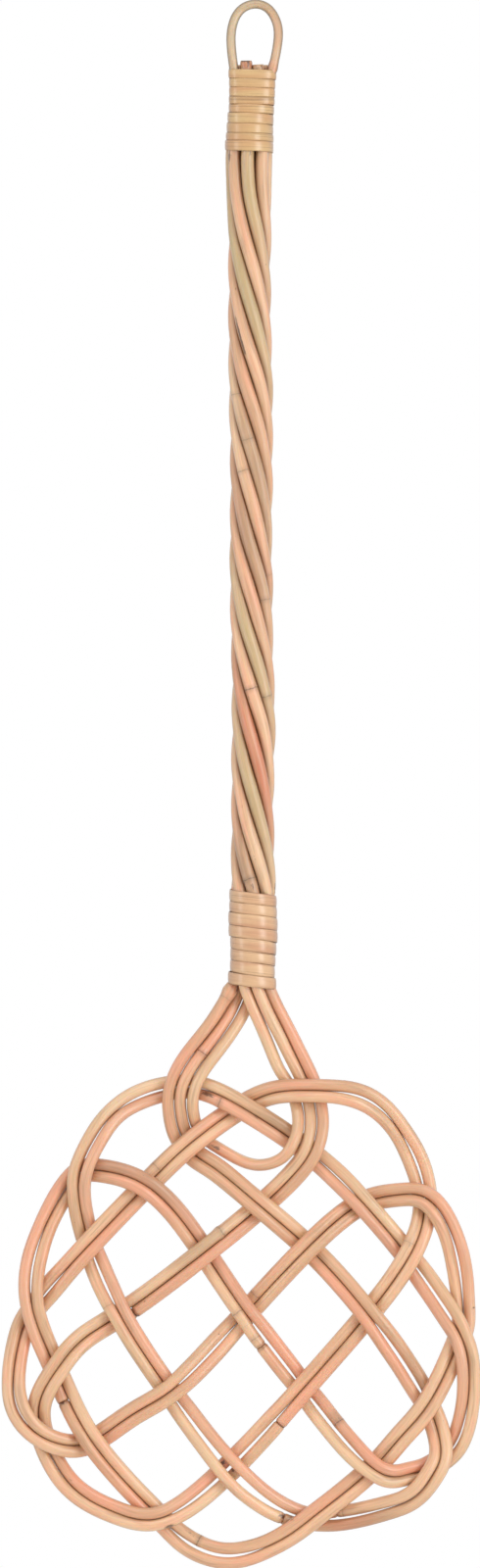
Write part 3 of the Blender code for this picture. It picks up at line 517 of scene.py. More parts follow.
@dataclass(frozen=True)
class SplitCaneFinish:
    """Split-cane strip, the cane's glossy skin: honey tan; raw edges and painted shade in brown.

    Attributes:
        name: the material's name.
        pale: the light tone of the skin.
        deep: the darker tone of some turns.
        edge: the brown of raw edges and streaks, and of painted shade in grooves and at the rim.
        edge_share: how plainly that brown shows.
        fibre_width: how wide a fibre shows.
        fibre_length: how long its streak is.
        turn_length: how long a patch of tone is, about half a turn.
        roughness: how glossy the skin is.
    """

    name: str
    pale: str
    deep: str
    edge: str = "#7A4E2C"
    edge_share: float = 0.6
    fibre_width: float = 0.5 * MM
    fibre_length: float = 20 * MM
    turn_length: float = 36 * MM
    roughness: float = 0.38

    def material(self) -> bpy.types.Material:
        """Builds the strip's material, in the unwound strip's own space.

        Returns:
            The material.
        """
        material, tree, shader = new_material(self.name)
        space = add_node(tree, "Attribute", {"attribute_name": OWN_SPACE}, output="Vector")
        raw_edge, streaked = (
            add_node(tree, "Attribute", {"attribute_name": name}, output="Fac")
            for name in ("raw_edge", "streaked"))
        slant = add_node(tree, "LayerWeight", {"Blend": 0.5}, output="Facing")

        # Each noise's patch width and length, and how many finer layers it has
        fibre, tone, streak, pressed = (
            stretched_noise(tree, space, *sizes) for sizes in (
                (self.fibre_width, self.fibre_length, 3.0), (6 * MM, self.turn_length, 2.0),
                (0.7 * MM, 60 * MM, 1.0), (30 * MM, 16 * MM, 1.0)))

        # Tone patches, dark streaks in the skin, frayed raw edges and painted shade between turns,
        # where the turns lie open, and painted shade at the slanting rim
        browner = add_node(tree, "Math", {**TIMES_PLUS, 1: 0.14}, {0: streaked, 2: streak})
        worn = add_node(tree, "Math", {**TIMES_PLUS, 1: 0.4}, {0: fibre, 2: raw_edge})
        patchy, dark, frayed, open_edge, rim = (
            add_node(tree, "MapRange", {**EASED, **dict(zip(RANGE, limits))}, {"Value": source})
            for source, *limits in (
                (tone, 0.35, 0.7), (browner, 0.64, 0.74, 0.0, 0.45),
                (worn, 0.7, 1.25, 0.0, self.edge_share), (pressed, 0.35, 0.62, 0.2),
                (slant, 0.25, 1.0, 0.0, 0.75)))
        edge = add_node(tree, "Math", TIMES, {0: frayed, 1: open_edge})
        shade = add_node(tree, "MapRange", dict(zip(RANGE, (0.3, 0.7, 0.93, 1.05))),
                         {"Value": fibre})

        colour = washed(tree, self.pale, [(patchy, self.deep)])
        colour = add_node(tree, "VectorMath", {"operation": "SCALE"}, {0: colour, "Scale": shade})
        # Brown streaks, raw edges with painted shade between turns, and painted shade at the rim
        colour = washed(tree, colour, [(share, self.edge) for share in (dark, edge, rim)])
        bump = add_node(tree, "Bump", {"Strength": 0.3, "Distance": 0.05 * MM}, {"Height": fibre})
        fit_node(shader, {"Roughness": self.roughness, "Coat Weight": 0.9,
                          "Coat Roughness": 0.26}, {"Base Color": colour, "Normal": bump})
        return material


class PackedTube:
    """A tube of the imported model, read back to its rings of vertices."""

    WAITING = 1.5

    def __init__(self, node: bpy.types.Object, sides: int) -> None:
        """Merges the node's loose triangles.

        Args:
            node: the CAD node's object.
            sides: how many vertices each of its rings has.
        """
        self.name = node.name
        self.sides = sides
        work = bmesh.new()
        work.from_mesh(node.data)
        bmesh.ops.remove_doubles(work, verts=work.verts, dist=MERGE_DISTANCE)
        mesh = bpy.data.meshes.new("merged")
        work.to_mesh(mesh)
        work.free()
        self.places = np.empty(len(mesh.vertices) * 3)
        mesh.vertices.foreach_get("co", self.places)
        self.places = self.places.reshape(-1, 3)
        triangles = np.empty(len(mesh.polygons) * 3, dtype=int)
        mesh.polygons.foreach_get("vertices", triangles)
        self.triangles = triangles.reshape(-1, 3)
        bpy.data.meshes.remove(mesh)

    def flat_groups(self) -> Array:
        """Numbers the triangles so that those joined in one flat have the same number.

        Returns:
            One number a triangle.
        """
        corners = self.places[self.triangles]
        normals = unit(np.cross(corners[:, 1] - corners[:, 0], corners[:, 2] - corners[:, 0]))
        edges = np.sort(self.triangles[:, [[0, 1], [1, 2], [2, 0]]].reshape(-1, 2), axis=1)
        order = np.lexsort(edges.T)
        owners = (order // 3).reshape(-1, 2)
        level = np.sum(normals[owners[:, 0]] * normals[owners[:, 1]], axis=1) > FLAT_COSINE
        first, second = owners[level].T
        groups = np.arange(len(self.triangles))
        for _ in range(len(groups)):
            lowest = np.minimum(groups[first], groups[second])
            before = groups.copy()
            np.minimum.at(groups, first, lowest)
            np.minimum.at(groups, second, lowest)
            if np.array_equal(before, groups):
                break
        return groups

    def caps(self) -> list[Array]:
        """Finds the tube's two end faces: flats with as many corners as the tube has sides.

        Returns:
            The vertices of each, the higher end first.
        """
        groups = self.flat_groups()
        found = []
        for group in np.unique(groups):
            members = self.triangles[groups == group]
            corners = np.unique(members)
            if len(members) != self.sides - 2 or len(corners) != self.sides:
                continue
            height = self.places[corners, 2].mean()
            linked = np.isin(self.triangles, corners).sum(axis=1) == 2
            ahead = np.setdiff1d(np.unique(self.triangles[linked]), corners)
            if len(ahead) == self.sides:
                found.append((height, corners))
        if len(found) < 2:
            raise ValueError(f"{self.name}: its two end faces weren't found")
        found.sort(key=lambda item: -item[0])
        return [corners for _, corners in found]

    def rings(self) -> list[Array]:
        """The rings of vertices in order, from the higher end.

        Each ring is what the ones before it are linked to and hasn't been passed. Where the
        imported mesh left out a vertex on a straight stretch, vertices of a later ring are linked
        too; they lie more than half as far ahead again, and wait for their turn.

        Returns:
            For each ring, its vertices.
        """
        count = len(self.places)
        linked = np.zeros((count, count), dtype=bool)
        for start, end in ((0, 1), (1, 2), (2, 0)):
            linked[self.triangles[:, start], self.triangles[:, end]] = True
            linked[self.triangles[:, end], self.triangles[:, start]] = True
        layers = [self.caps()[0]]
        passed = np.zeros(count, dtype=bool)
        while len(layers[-1]):
            passed[layers[-1]] = True
            reach = np.concatenate(layers[-3:])
            layer = np.flatnonzero(linked[reach].any(axis=0) & ~passed)
            if len(layer) not in (0, self.sides):
                ring = self.places[layers[-1]]
                normal = np.linalg.svd(ring - ring.mean(axis=0))[2][2]
                ahead = np.abs((self.places[layer] - ring.mean(axis=0)) @ normal)
                near = np.median(np.sort(ahead)[:self.sides // 2])
                layer = layer[ahead < self.WAITING * near]
            layers.append(layer)
        if not passed.all():
            raise ValueError(f"{self.name}: its rings don't reach all its vertices")
        return [self.places[layer] for layer in layers[:-1]]


def ring_centre(ring: Array) -> Array:
    """The centre of the circle through a ring's vertices, even with some of them missing.

    For a centre d away from the mean, 2 q . d + k is the same as q . q for each vertex q away
    from the mean; d and k come by least squares.

    Args:
        ring: the vertices.

    Returns:
        The centre.
    """
    mean = ring.mean(axis=0)
    away = ring - mean
    system = np.column_stack([2 * away, np.full(len(ring), np.ptp(away))])
    return mean + np.linalg.lstsq(system, np.sum(away ** 2, axis=1), rcond=FLAT_RING)[0][:3]


def spline_through(knots: Array, steps: int) -> Array:
    """Points on the natural cubic through the knots, with the chords as its parameter.

    Between two knots the curve is the chord's line bent by the second derivatives at both ends,
    which solve the usual three-term system.

    Args:
        knots: the points to pass through.
        steps: how many points each span gets.

    Returns:
        The curve's points, the last knot included.
    """
    chords = np.linalg.norm(np.diff(knots, axis=0), axis=1)
    slopes = np.diff(knots, axis=0) / chords[:, None]
    system = np.eye(len(knots))
    inner = np.arange(1, len(knots) - 1)
    system[inner, inner - 1] = chords[:-1]
    system[inner, inner] = 2 * (chords[:-1] + chords[1:])
    system[inner, inner + 1] = chords[1:]
    right = np.zeros_like(knots)
    right[1:-1] = 6 * np.diff(slopes, axis=0)
    bends = np.linalg.solve(system, right)
    span = chords[:, None, None]
    after = np.linspace(0, 1, steps, endpoint=False)[None, :, None] * span
    before = span - after
    start, end = knots[:-1, None], knots[1:, None]
    start_bend, end_bend = bends[:-1, None], bends[1:, None]
    curve = ((start_bend * before ** 3 + end_bend * after ** 3) / (6 * span)
             + (start / span - start_bend * span / 6) * before
             + (end / span - end_bend * span / 6) * after)
    return np.vstack([curve.reshape(-1, 3), knots[-1:]])


def distance_along(points: Array) -> Array:
    """How far each point lies along the line through them."""
    return np.concatenate([[0], np.cumsum(np.linalg.norm(np.diff(points, axis=0), axis=1))])


def stationed(points: Array, step: float) -> Array:
    """The line through the points, with even stations.

    Args:
        points: what the line passes through.
        step: about how far apart the stations are.

    Returns:
        The stations, both ends included.
    """
    along = distance_along(points)
    stations = np.linspace(0, along[-1], round(along[-1] / step) + 1)
    return np.column_stack([np.interp(stations, along, column) for column in points.T])


def unit(vectors: Array) -> Array:
    """The vectors, each at length 1."""
    return vectors / np.linalg.norm(vectors, axis=1)[:, None]


def bell(away: Array, reach: Array | float) -> Array:
    """A bell curve: 1 at no distance, and 1/e at the reach."""
    return np.exp(-(away / reach) ** 2)


def evened(values: Array, reach: int) -> Array:
    """Values averaged along their first axis by a bell of that reach, with the ends kept.

    Args:
        values: one row a station.
        reach: the bell's reach, in stations.

    Returns:
        The averaged values.
    """
    weights = bell(np.arange(-2 * reach, 2 * reach + 1), reach)
    weights /= weights.sum()
    first, last = values[:1], values[-1:]
    before = 2 * first - values[1:2 * reach + 1][::-1]
    after = 2 * last - values[-2 * reach - 1:-1][::-1]
    padded = np.concatenate([before, values, after])
    return np.column_stack([np.convolve(column, weights, mode="valid") for column in padded.T])


@dataclass
class CaneLine:
    """A cane's centre line, read from its packed tube and smoothed.

    Attributes:
        name: the CAD node's name.
        centre: the points of the line, from the higher end.
        radius: the cane's radius.
        along: how far each point lies along it.
    """

    name: str
    centre: Array
    radius: float
    along: Array = field(init=False)

    STATION_STEP = 1.0 * MM
    SPAN_STEPS = 16
    SMOOTHING_REACH = 3

    def __post_init__(self) -> None:
        """Measures the line."""
        self.along = distance_along(self.centre)

    @classmethod
    def from_node(cls, node: bpy.types.Object) -> CaneLine:
        """Reads a cane's line from its packed tube.

        Args:
            node: the CAD node's object.

        Returns:
            The line, with a station about every millimetre.
        """
        rings = PackedTube(node, CANE_SIDES).rings()
        middles = np.array([ring_centre(ring) for ring in rings])
        radius = float(np.linalg.norm(rings[0] - middles[0], axis=1).mean())
        points = stationed(spline_through(middles, cls.SPAN_STEPS), cls.STATION_STEP)
        return cls(node.name, evened(points, cls.SMOOTHING_REACH), radius)

    def moved(self, shift: Array) -> CaneLine:
        """The same cane with each station shifted."""
        return CaneLine(self.name, self.centre + shift, self.radius)

    def tangents(self) -> Array:
        """The unit direction of the line at each station."""
        return unit(np.gradient(self.centre, axis=0))

    def fronts(self) -> Array:
        """At each station, the direction square to the line that is nearest to the front."""
        tangents = self.tangents()
        return unit(FRONT + tangents[:, 1:2] * tangents)

    def sides(self) -> Array:
        """At each station, the direction square to the line and to its front."""
        return np.cross(self.tangents(), self.fronts())


@dataclass
class LaidMark:
    """A mark found on its cane: how far along, how far round, and its half sizes."""

    mark: Mark
    along: float
    angle: float
    half_length: float
    half_width: float


class CaneLay:
    """All the canes as they lie together: who touches whom, and which mark is on which."""

    # Closing up: gaps that are closed in part and in full, how far canes press into each other,
    # what counts as alongside and as beside, and the evening of the shifts, in stations
    CLOSE_REACH = 0.75 * MM
    CLOSE_FULL = 0.45 * MM
    PRESS = 0.04 * MM
    PARALLEL_COSINE = 0.93
    BESIDE_SHARE = 0.5
    SHIFT_SMOOTHING = 5
    # Neighbours: how much of a cane is left out as its own, how many stations are looked at, how
    # near they are, and the gap where none is
    OWN_REACH = 18 * MM
    NEIGHBOURS = 28
    NEAR_RADII = 4
    FAR = 10 * MM
    # The gaps at which stain and painted shade begin and are full, and how far a mark may be from
    # its cane
    STAIN_AND_SHADE_REACH = 1.8 * MM
    STAIN_AND_SHADE_FULL = 0.1 * MM
    SNAP_REACH = 3 * MM
    RIM_SHARE = 0.98

    def __init__(self, lines: list[CaneLine], marks: list[Mark], box: Array) -> None:
        """Keeps the lines, closes up those that lie side by side, and lays the marks on them.

        Args:
            lines: every cane's line.
            marks: what the photograph shows on them.
            box: the two corners that the canes' surfaces stay between.
        """
        self.lines = lines
        self.box = box
        self.gather()
        shifts = [self.closing_shift(number) for number in range(len(lines))]
        self.lines = [line.moved(shift) for line, shift in zip(lines, shifts)]
        self.gather()
        self.marks: list[list[LaidMark]] = [[] for _ in lines]
        for mark in marks:
            found = self.find(mark)
            if found:
                self.marks[found[0]].append(found[1])
            else:
                LOG.warning("no cane shows at %s", mark.pixel)

    def number_of(self, name: str) -> int:
        """Which line is the cane of that name."""
        return [line.name for line in self.lines].index(name)

    def gather(self) -> None:
        """Stacks every second station of all the lines, for looking up neighbours."""
        read = [(line.centre, line.tangents(), line.along, np.full(len(line.along), line.radius),
                 np.full(len(line.along), number)) for number, line in enumerate(self.lines)]
        self.places, self.headings, self.distances, self.radii, self.owners = (
            np.concatenate([values[::2] for values in column]) for column in zip(*read))

    def is_own(self, number: int) -> Array:
        """Which gathered stations are a cane's own and near each of its stations."""
        away = np.abs(self.distances[None] - self.lines[number].along[:, None])
        return (away < self.OWN_REACH) & (self.owners == number)[None]

    def closing_shift(self, number: int) -> Array:
        """How far each station moves to close half its gap to the canes beside it.

        The gap is the distance between the centre lines less both radii. It is closed where it is
        small and the canes run alongside, on either side by itself.

        Args:
            number: which cane.

        Returns:
            One shift a station.
        """
        line = self.lines[number]
        between = self.places[None] - line.centre[:, None]
        distance = np.linalg.norm(between, axis=2)
        gap = distance - line.radius - self.radii[None]
        alongside = np.abs(line.tangents() @ self.headings.T) > self.PARALLEL_COSINE
        allowed = alongside & ~self.is_own(number) & (gap < self.CLOSE_REACH)
        beside = np.einsum("sni,si->sn", between, line.sides())
        shift = np.zeros_like(line.centre)
        for way in (1, -1):
            options = np.where(allowed & (way * beside > self.BESIDE_SHARE * distance), gap,
                               np.inf)
            nearest = options.argmin(axis=1)
            rows = np.arange(len(nearest))
            least = options[rows, nearest]
            weight = (self.CLOSE_REACH - least) / (self.CLOSE_REACH - self.CLOSE_FULL)
            least = np.where(np.isfinite(least), least + self.PRESS, 0.0)
            towards = between[rows, nearest] / np.maximum(distance[rows, nearest], MM)[:, None]
            shift += towards * (np.clip(weight, 0, 1) * least / 2)[:, None]
        return evened(shift, self.SHIFT_SMOOTHING)

    def gaps(self, number: int, surface: Array) -> Array:
        """How far each point of a cane's surface is from the nearest other cane.

        That is the distance to a neighbour's centre line less its radius.

        Args:
            number: which cane.
            surface: its points, by station, place round it and axis.

        Returns:
            One value a point, FAR where no cane is near.
        """
        line = self.lines[number]
        apart = np.linalg.norm(self.places[None] - line.centre[:, None], axis=2)
        apart[self.is_own(number)] = np.inf
        nearest = np.argpartition(apart, self.NEIGHBOURS, axis=1)[:, :self.NEIGHBOURS]
        near = np.take_along_axis(apart, nearest, axis=1) < self.NEAR_RADII * line.radius
        between = surface[:, :, None] - self.places[nearest][:, None]
        along = np.einsum("smni,sni->smn", between, self.headings[nearest])
        square = np.maximum(np.sum(between ** 2, axis=3) - along ** 2, 0)
        gap = np.sqrt(square) - self.radii[nearest][:, None]
        beyond = np.abs(along) > 2 * line.STATION_STEP
        return np.where(beyond | ~near[:, None], self.FAR, gap).min(axis=2)

    def contact(self, gap: Array) -> Array:
        """How near to touching a point with that gap is, eased from 0 to 1."""
        share = (self.STAIN_AND_SHADE_REACH - gap) / (self.STAIN_AND_SHADE_REACH - self.STAIN_AND_SHADE_FULL)
        return np.clip(share, 0, 1) ** 2

    def find(self, mark: Mark) -> tuple[int, LaidMark] | None:
        """Finds the cane that shows at a mark's pixel, or else the nearest one.

        Args:
            mark: the mark.

        Returns:
            The cane's number and the mark's place on it, or None where none is near.
        """
        across, up = photo_place(mark.pixel)
        best: tuple[float, float, int, LaidMark] | None = None
        for number, line in enumerate(self.lines):
            offset = np.array([across, 0.0, up]) - line.centre * FACE_ON
            lateral = np.einsum("si,si->s", offset, line.sides())
            distance = np.hypot(offset[:, 0], offset[:, 2])
            station = int(distance.argmin())
            outside = max(float(distance[station]) - line.radius, 0.0)
            if outside > self.SNAP_REACH:
                continue
            share = lateral[station] / line.radius
            angle = math.asin(min(max(share, -self.RIM_SHARE), self.RIM_SHARE))
            depth = line.centre[station, 1] - line.radius * math.cos(angle)
            if best is None or (outside, depth) < best[:2]:
                laid = LaidMark(mark, float(line.along[station]), angle,
                                mark.length_px / 2 * METRES_PER_PX,
                                mark.width_px / 2 * METRES_PER_PX)
                best = outside, depth, number, laid
        return None if best is None else best[2:]


@dataclass
class CaneSkin:
    """The fine surface of one cane.

    Attributes:
        line: the cane's centre line.
        look: its finish and tones.
        marks: the marks that lie on it.
        seed: what makes its unevenness its own.
    """

    line: CaneLine
    look: CaneLook
    marks: list[LaidMark]
    seed: int

    AROUND = 28
    RIM = 0.35 * MM
    UNEVENNESS = 0.012
    WAVES = (38 * MM, 61 * MM, 113 * MM)
    OVAL_TURN = 90 * MM
    RING_SWELL = 0.045
    RING_REACH = 1.3 * MM
    KNOB_SWELL = 0.30
    NO_RING = 1.0
    FIBRE_START = 0.37

    # By the photograph's row: how much fuller or slimmer canes are, and how far the twist
    # squeezes them together
    FULLNESS = ((72, 0.0), (78, -0.12), (147, -0.12), (153, 0.0), (165, 0.02), (900, 0.02),
                (911, 0.0), (917, -0.12), (1001, -0.12), (1007, 0.0))
    SQUEEZED = ((150, 0.0), (156, 0.45), (903, 0.45), (912, 0.0))
    SQUEEZE_REACH = 1.6 * MM
    # How much more stain and painted shade the twist's grooves get
    TWIST_STAIN_AND_SHADE = 2.5

    def marked(self, kind: MarkKind) -> list[LaidMark]:
        """The cane's marks of one kind."""
        return [laid for laid in self.marks if laid.mark.kind is kind]

    def by_row(self, table: tuple[tuple[float, float], ...]) -> Array:
        """What a table says for the photograph's row of each station."""
        rows = ORIGIN_PX[1] - self.line.centre[:, 2] / METRES_PER_PX
        return np.interp(rows, *zip(*table))[:, None]

    def unevenness(self, around: Array) -> Array:
        """How much thicker or thinner the cane is, station by station and round it.

        The sum of slow waves along the cane, one slight oval, and a bell-shaped swelling at each
        node and knob. Canes are fuller in the handle's twist, where they close up to each other,
        and slimmer under the bindings, which hide them.

        Args:
            around: the angles round the cane.

        Returns:
            Factors near 1, by station and angle.
        """
        chance = np.random.default_rng(self.seed)
        along = self.line.along[:, None]
        factor = np.ones((len(along), len(around)))
        for wave in self.WAVES:
            phase = chance.uniform(0, FULL_TURN)
            factor += self.UNEVENNESS / 2 * np.sin(FULL_TURN * along / wave + phase)
        turn = chance.uniform(0, FULL_TURN)
        factor += self.UNEVENNESS / 2 * np.cos(2 * around[None] + turn + along / self.OVAL_TURN)
        factor += self.by_row(self.FULLNESS)
        for laid in self.marked(MarkKind.NODE_RING):
            swelling = bell(along - laid.along, self.RING_REACH)
            factor += self.RING_SWELL * laid.mark.strength * swelling
        for laid in self.marked(MarkKind.KNOB):
            swelling = bell(along - laid.along, laid.half_length)
            factor += self.KNOB_SWELL * laid.mark.strength * swelling
        return factor

    def bark_field(self, around: Array) -> Array:
        """How strongly bark and painted shadow show: for each, a bell along times one round the
        cane.

        Args:
            around: the angles round the cane.

        Returns:
            Strengths, by station and angle.
        """
        along = self.line.along[:, None]
        total = np.zeros((len(along), len(around)))
        for laid in self.marked(MarkKind.BARK):
            turned = (around[None] - laid.angle + math.pi) % FULL_TURN - math.pi
            total += (laid.mark.strength * bell(along - laid.along, laid.half_length)
                      * bell(turned * self.line.radius, laid.half_width))
        return total

    def tone_field(self, kind: MarkKind) -> Array:
        """How strongly a tone shows: the cane's own share, and its marked stretches.

        Args:
            kind: the tone.

        Returns:
            Values from 0 to 1, by station.
        """
        own = {MarkKind.BLUSH: self.look.blush, MarkKind.GREEN: self.look.green}
        total = np.full(len(self.line.along), own.get(kind, 0.0))
        for laid in self.marked(kind):
            total += laid.mark.strength * bell(self.line.along - laid.along, laid.half_length)
        return np.clip(total, 0, 1)

    def ring_fields(self) -> tuple[Array, Array]:
        """Finds each station's nearest node ring.

        Returns:
            How far along the cane it is, and how plainly it shows, by station.
        """
        offset = np.full(len(self.line.along), self.NO_RING)
        strength = np.zeros(len(offset))
        for ring in self.marked(MarkKind.NODE_RING):
            distance = self.line.along - ring.along
            nearer = np.abs(distance) < np.abs(offset)
            offset[nearer] = distance[nearer]
            strength[nearer] = ring.mark.strength
        return offset, strength

    def build(self, lay: CaneLay, number: int, end_grain: bpy.types.Material) -> bpy.types.Object:
        """Makes the cane's mesh with its attributes and materials.

        The surface is centre + radius * (cos a * front + sin a * side), on a grid of stations and
        angles a, with the end stations drawn in to round the rim. In the handle's tight twist each
        point bulges towards the cane beside it, by a share of the gap times a bell of the gap. No
        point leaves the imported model's box.

        Args:
            lay: all the canes.
            number: this cane's number among them.
            end_grain: the material of its two ends.

        Returns:
            The cane's object.
        """
        around = np.linspace(0, FULL_TURN, self.AROUND, endpoint=False)
        line = self.line
        from_end = np.minimum(line.along, line.along[-1] - line.along)
        rim = 1 - self.RIM / line.radius * (1 - np.clip(from_end / self.RIM, 0, 1)) ** 2
        radii = line.radius * self.unevenness(around) * rim[:, None]
        out = (np.cos(around)[None, :, None] * line.fronts()[:, None]
               + np.sin(around)[None, :, None] * line.sides()[:, None])
        surface = line.centre[:, None] + radii[:, :, None] * out
        gap = lay.gaps(number, surface)
        squeeze = self.by_row(self.SQUEEZED)
        bulge = squeeze * gap * bell(gap, self.SQUEEZE_REACH)
        surface = np.clip(surface + bulge[:, :, None] * out, *lay.box)
        # In the twist, stain and painted shade are stronger and reach further
        stain_and_shade = 1 + self.TWIST_STAIN_AND_SHADE * squeeze
        ring_offset, ring_strength = self.ring_fields()
        fields = {
            "contact": lay.contact(gap / stain_and_shade) * stain_and_shade,
            "ring_offset": ring_offset[:, None],
            "ring_strength": ring_strength[:, None],
            "bark": self.bark_field(around),
            **{kind.value: self.tone_field(kind)[:, None] for kind in TONE_KINDS},
        }
        own_place = (line.radius * np.cos(around), line.radius * np.sin(around),
                     line.along[:, None] + self.seed * self.FIBRE_START)
        mesh = tube_mesh(line.name + "_skin", surface, line.centre[[0, -1]], own_place, fields)
        mesh.materials.append(self.look.finish.material())
        mesh.materials.append(end_grain)
        slots = np.zeros(len(mesh.polygons), dtype=np.int32)
        # The last faces are the fans that close both ends
        slots[-2 * self.AROUND:] = 1
        mesh.polygons.foreach_set("material_index", slots)
        return put_up(mesh.name, mesh)


def tube_mesh(name: str, surface: Array, poles: Array, own_place: tuple[Array, Array, Array],
              fields: dict[str, Array]) -> bpy.types.Mesh:
    """A closed tube with what its material reads at each point.

    Each square joins two neighbouring points of a station with the next station's two, and a fan
    of triangles joins each end station to its pole.

    Args:
        name: the mesh's name.
        surface: its points, by station, place round it and axis.
        poles: the two points that close its ends.
        own_place: each point's place in the straightened tube, one array an axis.
        fields: numbers by name. Every array here may have one row or column for all.

    Returns:
        The mesh, smooth, with its faces pointing out.
    """
    rows, sides = surface.shape[:2]
    row, side = np.meshgrid(np.arange(rows - 1), np.arange(sides), indexing="ij")
    onward = (side + 1) % sides
    walls = np.stack([row * sides + side, row * sides + onward,
                      (row + 1) * sides + onward, (row + 1) * sides + side], axis=2)
    ring = np.arange(sides)
    ahead = (ring + 1) % sides
    foot = (rows - 1) * sides
    top_fan = np.column_stack([np.full(sides, rows * sides), ahead, ring])
    foot_fan = np.column_stack([np.full(sides, rows * sides + 1), foot + ring, foot + ahead])
    outward = np.cross(np.roll(surface[:-1], -1, axis=1) - surface[:-1], surface[1:] - surface[:-1])
    spoke = surface[:-1] - surface[:-1].mean(axis=1, keepdims=True)
    faces = [walls.reshape(-1, 4), top_fan, foot_fan]
    if np.sum(outward * spoke) < 0:
        faces = [face[:, ::-1] for face in faces]
    points = np.vstack([surface.reshape(-1, 3), poles])
    mesh = bpy.data.meshes.new(name)
    mesh.from_pydata(points.tolist(), [], [face for part in faces for face in part.tolist()])
    mesh.shade_smooth()

    grid = rows, sides
    across, out, along = (np.broadcast_to(axis, grid) for axis in own_place)
    ends = [(0.0, 0.0, along[0, 0]), (0.0, 0.0, along[-1, 0])]
    place = np.vstack([np.stack([across, out, along], axis=2).reshape(-1, 3), ends])
    attribute = mesh.attributes.new(OWN_SPACE, "FLOAT_VECTOR", "POINT")
    attribute.data.foreach_set("vector", place.astype(np.float32).ravel())
    for field_name, values in fields.items():
        spread = np.broadcast_to(values, grid)
        numbers = np.append(spread.ravel(), [spread[0, 0], spread[-1, 0]])
        attribute = mesh.attributes.new(field_name, "FLOAT", "POINT")
        attribute.data.foreach_set("value", numbers.astype(np.float32))
    return mesh


def hand_over(piece: bpy.types.Object, node: str) -> None:
    """Lets a piece stand for its CAD node, on the beater's one body.

    Args:
        piece: the piece.
        node: the CAD node's name.
    """
    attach(piece, "root")
    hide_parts(node)


@dataclass(frozen=True)
class CaneLook:
    """How one cane looks.

    Attributes:
        finish: its varnish and tones.
        blush: how pinkish it is all along.
        green: how greenish it is all along.
        slot: a name for a material slot; not used.
    """

    finish: RattanFinish
    blush: float
    green: float = 0.0
    slot: str = "strand_cane"


TAN = RattanFinish("varnished_rattan_tan", "#F2CAA1", "#DEB088")
HONEY = RattanFinish("varnished_rattan_honey", "#F4D0A7", "#E2B990")
ROSE = RattanFinish("varnished_rattan_rose", "#F1BF9A", "#DFA785")
# The loop's slanting rims get strong painted shade, grey-brown
STRAW = RattanFinish("varnished_rattan_straw", "#E0CBA9", "#CAB28D", rim="#66543F", rim_start=0.05,
                     rim_full=0.7, rim_share=0.85)
BROWNED = RattanFinish("varnished_rattan_browned", "#C08A5C", "#A97247", rim="#8A5631",
                       rim_share=0.2)


@dataclass
class CaneGroup:
    """Canes that belong together.

    Attributes:
        looks: each cane's look, by its CAD node.
    """

    looks: dict[str, CaneLook]

    def build(self, lay: CaneLay, end_grain: bpy.types.Material) -> None:
        """Builds each cane's skin and hands it over for its CAD node.

        Args:
            lay: all the canes as they lie together.
            end_grain: the material of their sawn ends.
        """
        for name, look in self.looks.items():
            number = lay.number_of(name)
            skin = CaneSkin(lay.lines[number], look, lay.marks[number], number + 1)
            piece = skin.build(lay, number, end_grain)
            hand_over(piece, name)
            LOG.info("%s: %d marks, %d faces", piece.name, len(skin.marks),
                     len(piece.data.polygons))


@dataclass
class WovenStrands(CaneGroup):
    """The two paired strands of the knot and the teardrop's cane, in their spliced lengths."""

    looks: dict[str, CaneLook] = field(default_factory=lambda: {
        "strand_a_cane_1": CaneLook(TAN, 0.2), "strand_a_cane_2": CaneLook(ROSE, 0.35),
        "strand_a_cane_3": CaneLook(TAN, 0.2), "strand_a_cane_4": CaneLook(TAN, 0.25),
        "strand_b_cane_1": CaneLook(TAN, 0.15), "strand_b_cane_2": CaneLook(HONEY, 0.1),
        "strand_b_cane_3": CaneLook(TAN, 0.15), "strand_b_cane_4": CaneLook(HONEY, 0.15),
        "teardrop_cane": CaneLook(HONEY, 0.1),
    })


@dataclass
class HandleCanes(CaneGroup):
    """The two canes that stay in the handle: the filler and the hidden core."""

    looks: dict[str, CaneLook] = field(default_factory=lambda: {
        "handle_filler_cane": CaneLook(HONEY, 0.15, slot="filler_cane"),
        "handle_core": CaneLook(BROWNED, 0.0, slot="core_cane"),
    })


@dataclass
class HangingLoop(CaneGroup):
    """The thin cane of the hanging loop."""

    looks: dict[str, CaneLook] = field(default_factory=lambda: {
        "hanging_loop": CaneLook(STRAW, 0.1, 0.1, "loop_cane"),
    })


